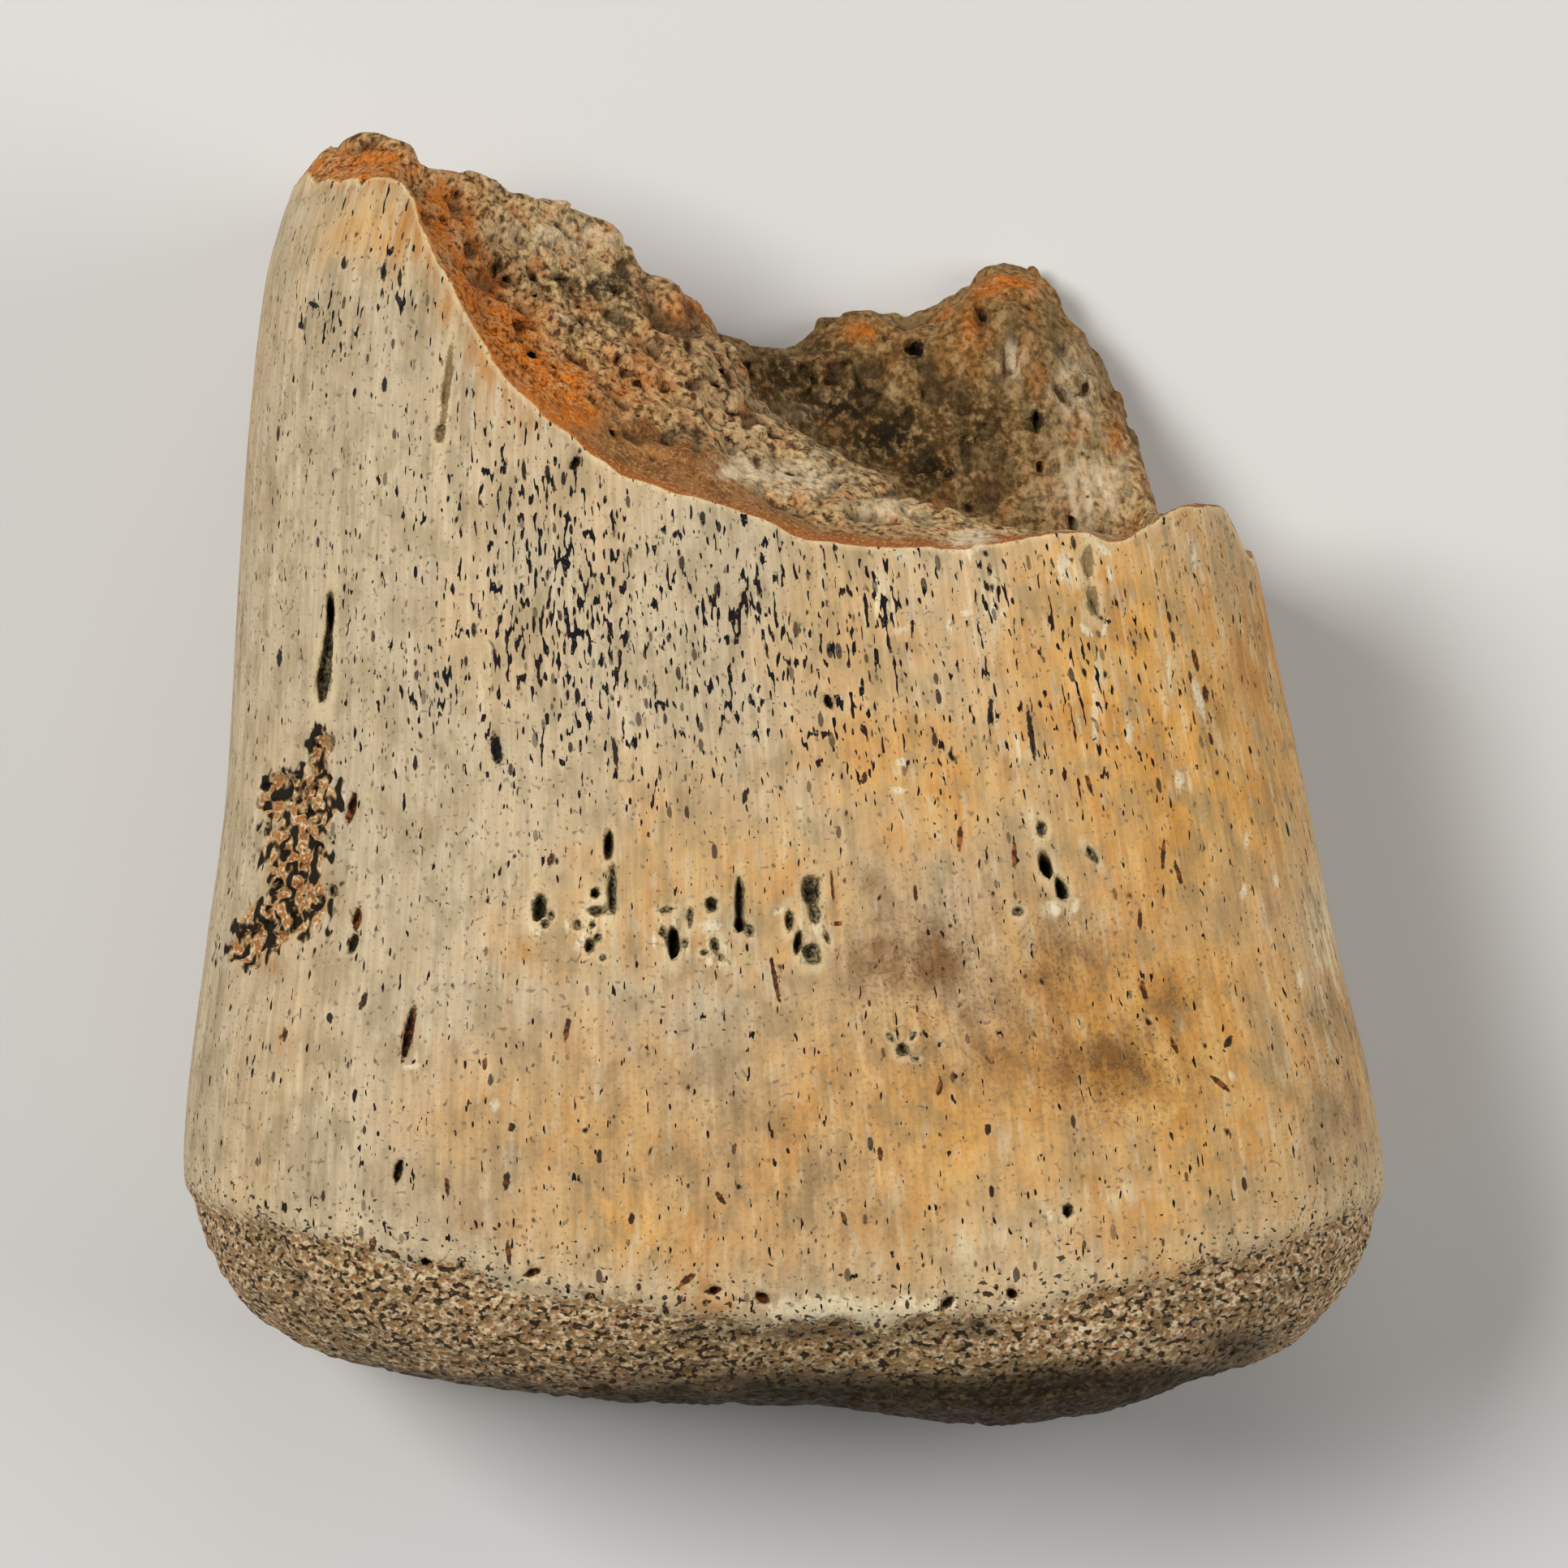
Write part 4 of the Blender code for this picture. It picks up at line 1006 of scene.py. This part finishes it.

# %% [markdown]
# ### The break
# Its front edge is dense bone, broken smooth and stained brown to orange, with a thin line of rust along the
# edge itself. Behind it the spongy bone is tan, darker and browner with depth, with rust, dark pores and
# chalky crumbs. Between the struts of the marrow hollow and in the break's holes there is dirt and painted
# shade.
# The dents of the knobbly break are darkened with painted shade, and the tops of its knobs are lightened with
# a painted highlight.

# %% Break
dense = coats(
    linear("#7c4f26"),
    ("#a06d3a", blotches, 0.40, 0.60, 1.0),
    ("#c2945a", fine_grit, 0.55, 0.63, 0.55),
    ("#55300f", grit, 0.58, 0.66, 0.6),
)
past_dense_band = add("Math", blotches, 2.0, past_dense, operation="MULTIPLY_ADD")
out_of_the_deep = add("MapRange", behind, 5.0, 10.0, 1.0, 0.4)
porous = add("MapRange", past_dense_band, 0.5, 1.5, 0.0, out_of_the_deep)
broken_face = coats(
    dense,
    (net, past_dense_band, 0.7, 1.5, 1.0),
    ("#644409", behind, 8.5, 12.5, 0.55),
    ("#cc6c04", rusty, 0.54, 0.80, add("MapRange", rust, 0.05, 0.5, 0.0, 0.88)),
    ("#c49a60", sponge, 0.52, 0.64, add("Math", rust, 0.7, operation="MULTIPLY")),
    ("#5a2c0a", fine_grit, 0.55, 0.62, add("Math", rust, 0.8, operation="MULTIPLY")),
    ("#a4561c", behind, 0.85, 0.45, add("MapRange", clouds, -0.3, 0.2, 0.2, 0.75)),
    ("#c89256", fine_grit, 0.54, 0.62, add("MapRange", behind, 0.9, 0.5, 0.0, 0.6)),
    # painted highlight: the tops of the break's knobs are paler
    ("#dfc090", pitted, -0.08, -0.24, 0.5),
    ("#382714", sponge, 0.43, 0.36, add("Math", porous, 0.8, operation="MULTIPLY")),
    # painted shade: the break's dents are darker
    ("#3a2814", pitted, 0.07, 0.28, 0.7),
    ("#dcc7a2", chalky, 0.50, 0.80, add("MapRange", chalk, 0.05, 0.4, 0.0, 0.85)),
    # the dark spots in the break: dirt and painted shade in the marrow hollow and its holes
    ("#1f1502", sponge, 0.71, 0.49, dark),
)
print("nodes so far:", len(tree.nodes))

# %% [markdown]
# ### Put the parts together
# The measured distances decide where sheet, rim and break meet, and noise makes the borders ragged. Where the
# sheet is worn through, a net of rusty struts and dark pores shows. Dirt fills every hollow, and painted
# shade darkens it further with depth, near black in the deepest and in the holes of the break. Each opening
# has a pale worn ring. Grit and fibres also tilt the surface, as fine relief a few hundredths of a millimetre
# high.
# The stone is as matt as dry clay: it is rough, and its specular level is low.

# %% Whole finish
ragged_edge = add("Math", rim_pores, 1.0, past_sheet_edge, operation="MULTIPLY_ADD")
gritty_depth = add("Math", fine_grit, 0.6, sunk, operation="MULTIPLY_ADD")
grains = patches(0.34, 0.50, 1.0, 0.5)
opening_place, opening_depth = ovals_of("openings", 1.1)
shallow = add("MapRange", opening_depth, 0.20, 0.16, 0.0, 0.75)
filling = coats(dirt, ("#92794e", shallow, 0.0, 1.0, 1.0))
patch = coats(
    linear("#c0a070"),
    ("#a5601f", grains, 0.52, 0.58, 0.85),
    ("#e4d4b0", fine_grit, 0.54, 0.62, 0.75),
    ("#6a4c28", grains, 0.52, 0.48, 0.9),
    ("#12100c", grains, 0.465, 0.43, 0.95),
)
worn_place = add("Math", grains, -1.2, add("Math", worn, 0.95), operation="MULTIPLY_ADD")
colour = coats(
    sheet,
    ("#dcc59a", opening_place, -1.2, -0.4, 0.5),
    (net, sunk, 0.04, 0.10, 0.6),
    (dirt, gritty_depth, 0.38, 0.48, add("MapRange", worn, 0.2, 0.5, 0.85, 0.1)),
    (filling, opening_place, 0.0, 0.2, 0.95),
    # painted shade: the deepest parts of the hollows go near black
    ("#110f0b", gritty_depth, 0.62, 0.90, add("MapRange", worn, 0.2, 0.5, 0.95, 0.4)),
    (patch, worn_place, 0.62, 0.72, 1.0),
    (slit_tint, slits, 0.0, 1.0, 1.0),
    (rim, ragged_edge, 0.42, 0.56, 1.0),
    (broken_face, past_break_edge, -0.02, 0.05, 1.0),
    # painted shade in the holes of the break, darker with depth
    ("#120d07", sunk, 0.20, 0.60, add("MapRange", past_break_edge, 0.0, 0.1, 0.0, 0.9)),
)
past_edges = add("Math", past_sheet_edge, past_break_edge, operation="MAXIMUM")
coarseness = add("MapRange", past_edges, -0.1, 0.2, 2.0, 8.0)
height = add("Math", grit, coarseness, fibres, operation="MULTIPLY_ADD")
fine_relief = add("Bump", {"Height": height, "Strength": 0.5, "Distance": 0.00004})

surface = add("BsdfPrincipled", {"Base Color": colour, "Normal": fine_relief, "Roughness": 0.72})
surface.node.inputs["IOR"].default_value = 1.5
surface.node.inputs["Specular IOR Level"].default_value = 0.15
tree.links.new(surface, tree.nodes.new("ShaderNodeOutputMaterial").inputs["Surface"])
mesh.materials.clear()
mesh.materials.append(fossil_bone)
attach(bone_piece, "root")
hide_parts("finger_bone")
print("nodes in the material:", len(tree.nodes))

# %% [markdown]
# ## Table
# A plain pale table of matt card stands in for a studio sweep, wide enough to fill every view.

# %% Table
TABLE_HALF = 1.5
TABLE_CORNERS = ((-1, -1, 0), (1, -1, 0), (1, 1, 0), (-1, 1, 0))
floor_mesh = bpy.data.meshes.new("table")
floor_mesh.from_pydata([TABLE_HALF * Vector(corner) for corner in TABLE_CORNERS], [], [(0, 1, 2, 3)])
floor = bpy.data.objects.new("table", floor_mesh)
bpy.context.scene.collection.objects.link(floor)
paper = bpy.data.materials.new("matt_white_card")
paper.use_nodes = True
card = paper.node_tree.nodes["Principled BSDF"]
card.inputs["Base Color"].default_value = linear("#d8d6d2")
card.inputs["Roughness"].default_value = 0.9
floor_mesh.materials.append(paper)
print("table, m across:", 2 * TABLE_HALF)

# %% [markdown]
# ## Light
# The main light is a broad soft one high above the left of the break, so the face is even and the joint end
# falls into shade. Two weaker ones lift the break and the right side, and the room gives a faint even glow.

# %% Light
def soft_light(name, place, size, watts):
    """A square area light, aimed at the fossil."""
    lamp = bpy.data.lights.new(name, "AREA")
    lamp.size = size
    lamp.energy = watts
    holder = bpy.data.objects.new(name, lamp)
    holder.location = place
    aim = Vector((0, 0, 0.01)) - holder.location
    holder.rotation_euler = aim.to_track_quat("-Z", "Y").to_euler()
    bpy.context.scene.collection.objects.link(holder)


soft_light("main_light", (-0.36, 0.16, 0.61), 0.28, 4.0)
soft_light("far_fill", (0.10, 0.55, 0.35), 0.4, 0.7)
soft_light("right_fill", (0.55, 0.05, 0.40), 0.4, 1.7)
world = bpy.data.worlds.new("studio")
world.use_nodes = True
world.node_tree.nodes["Background"].inputs["Color"].default_value = linear("#f2f2f4")
world.node_tree.nodes["Background"].inputs["Strength"].default_value = 0.16
bpy.context.scene.world = world
bpy.context.scene.view_settings.view_transform = "Standard"
print("lamps:", [lamp.name for lamp in bpy.data.lights])

# %% [markdown]
# ## Camera
# The camera looks straight down from 42 cm above the middle of the fossil, far enough that the sides don't
# bulge. The lens is long enough to fill the picture with 47 mm at that distance.

# %% Camera
CAMERA_HEIGHT = 0.420
PICTURE_PLANE = 0.0095
PICTURE_WIDTH = 0.0470
SENSOR = 36.0

lens = bpy.data.cameras.new("close_up")
lens.sensor_width = SENSOR
lens.lens = SENSOR * CAMERA_HEIGHT / PICTURE_WIDTH
lens.clip_start = 0.01
lens.clip_end = 20.0
camera = bpy.data.objects.new("camera", lens)
camera.location = (-0.00005, -0.00002, PICTURE_PLANE + CAMERA_HEIGHT)
bpy.context.scene.collection.objects.link(camera)
bpy.context.scene.camera = camera
print("lens, mm:", round(lens.lens, 1))
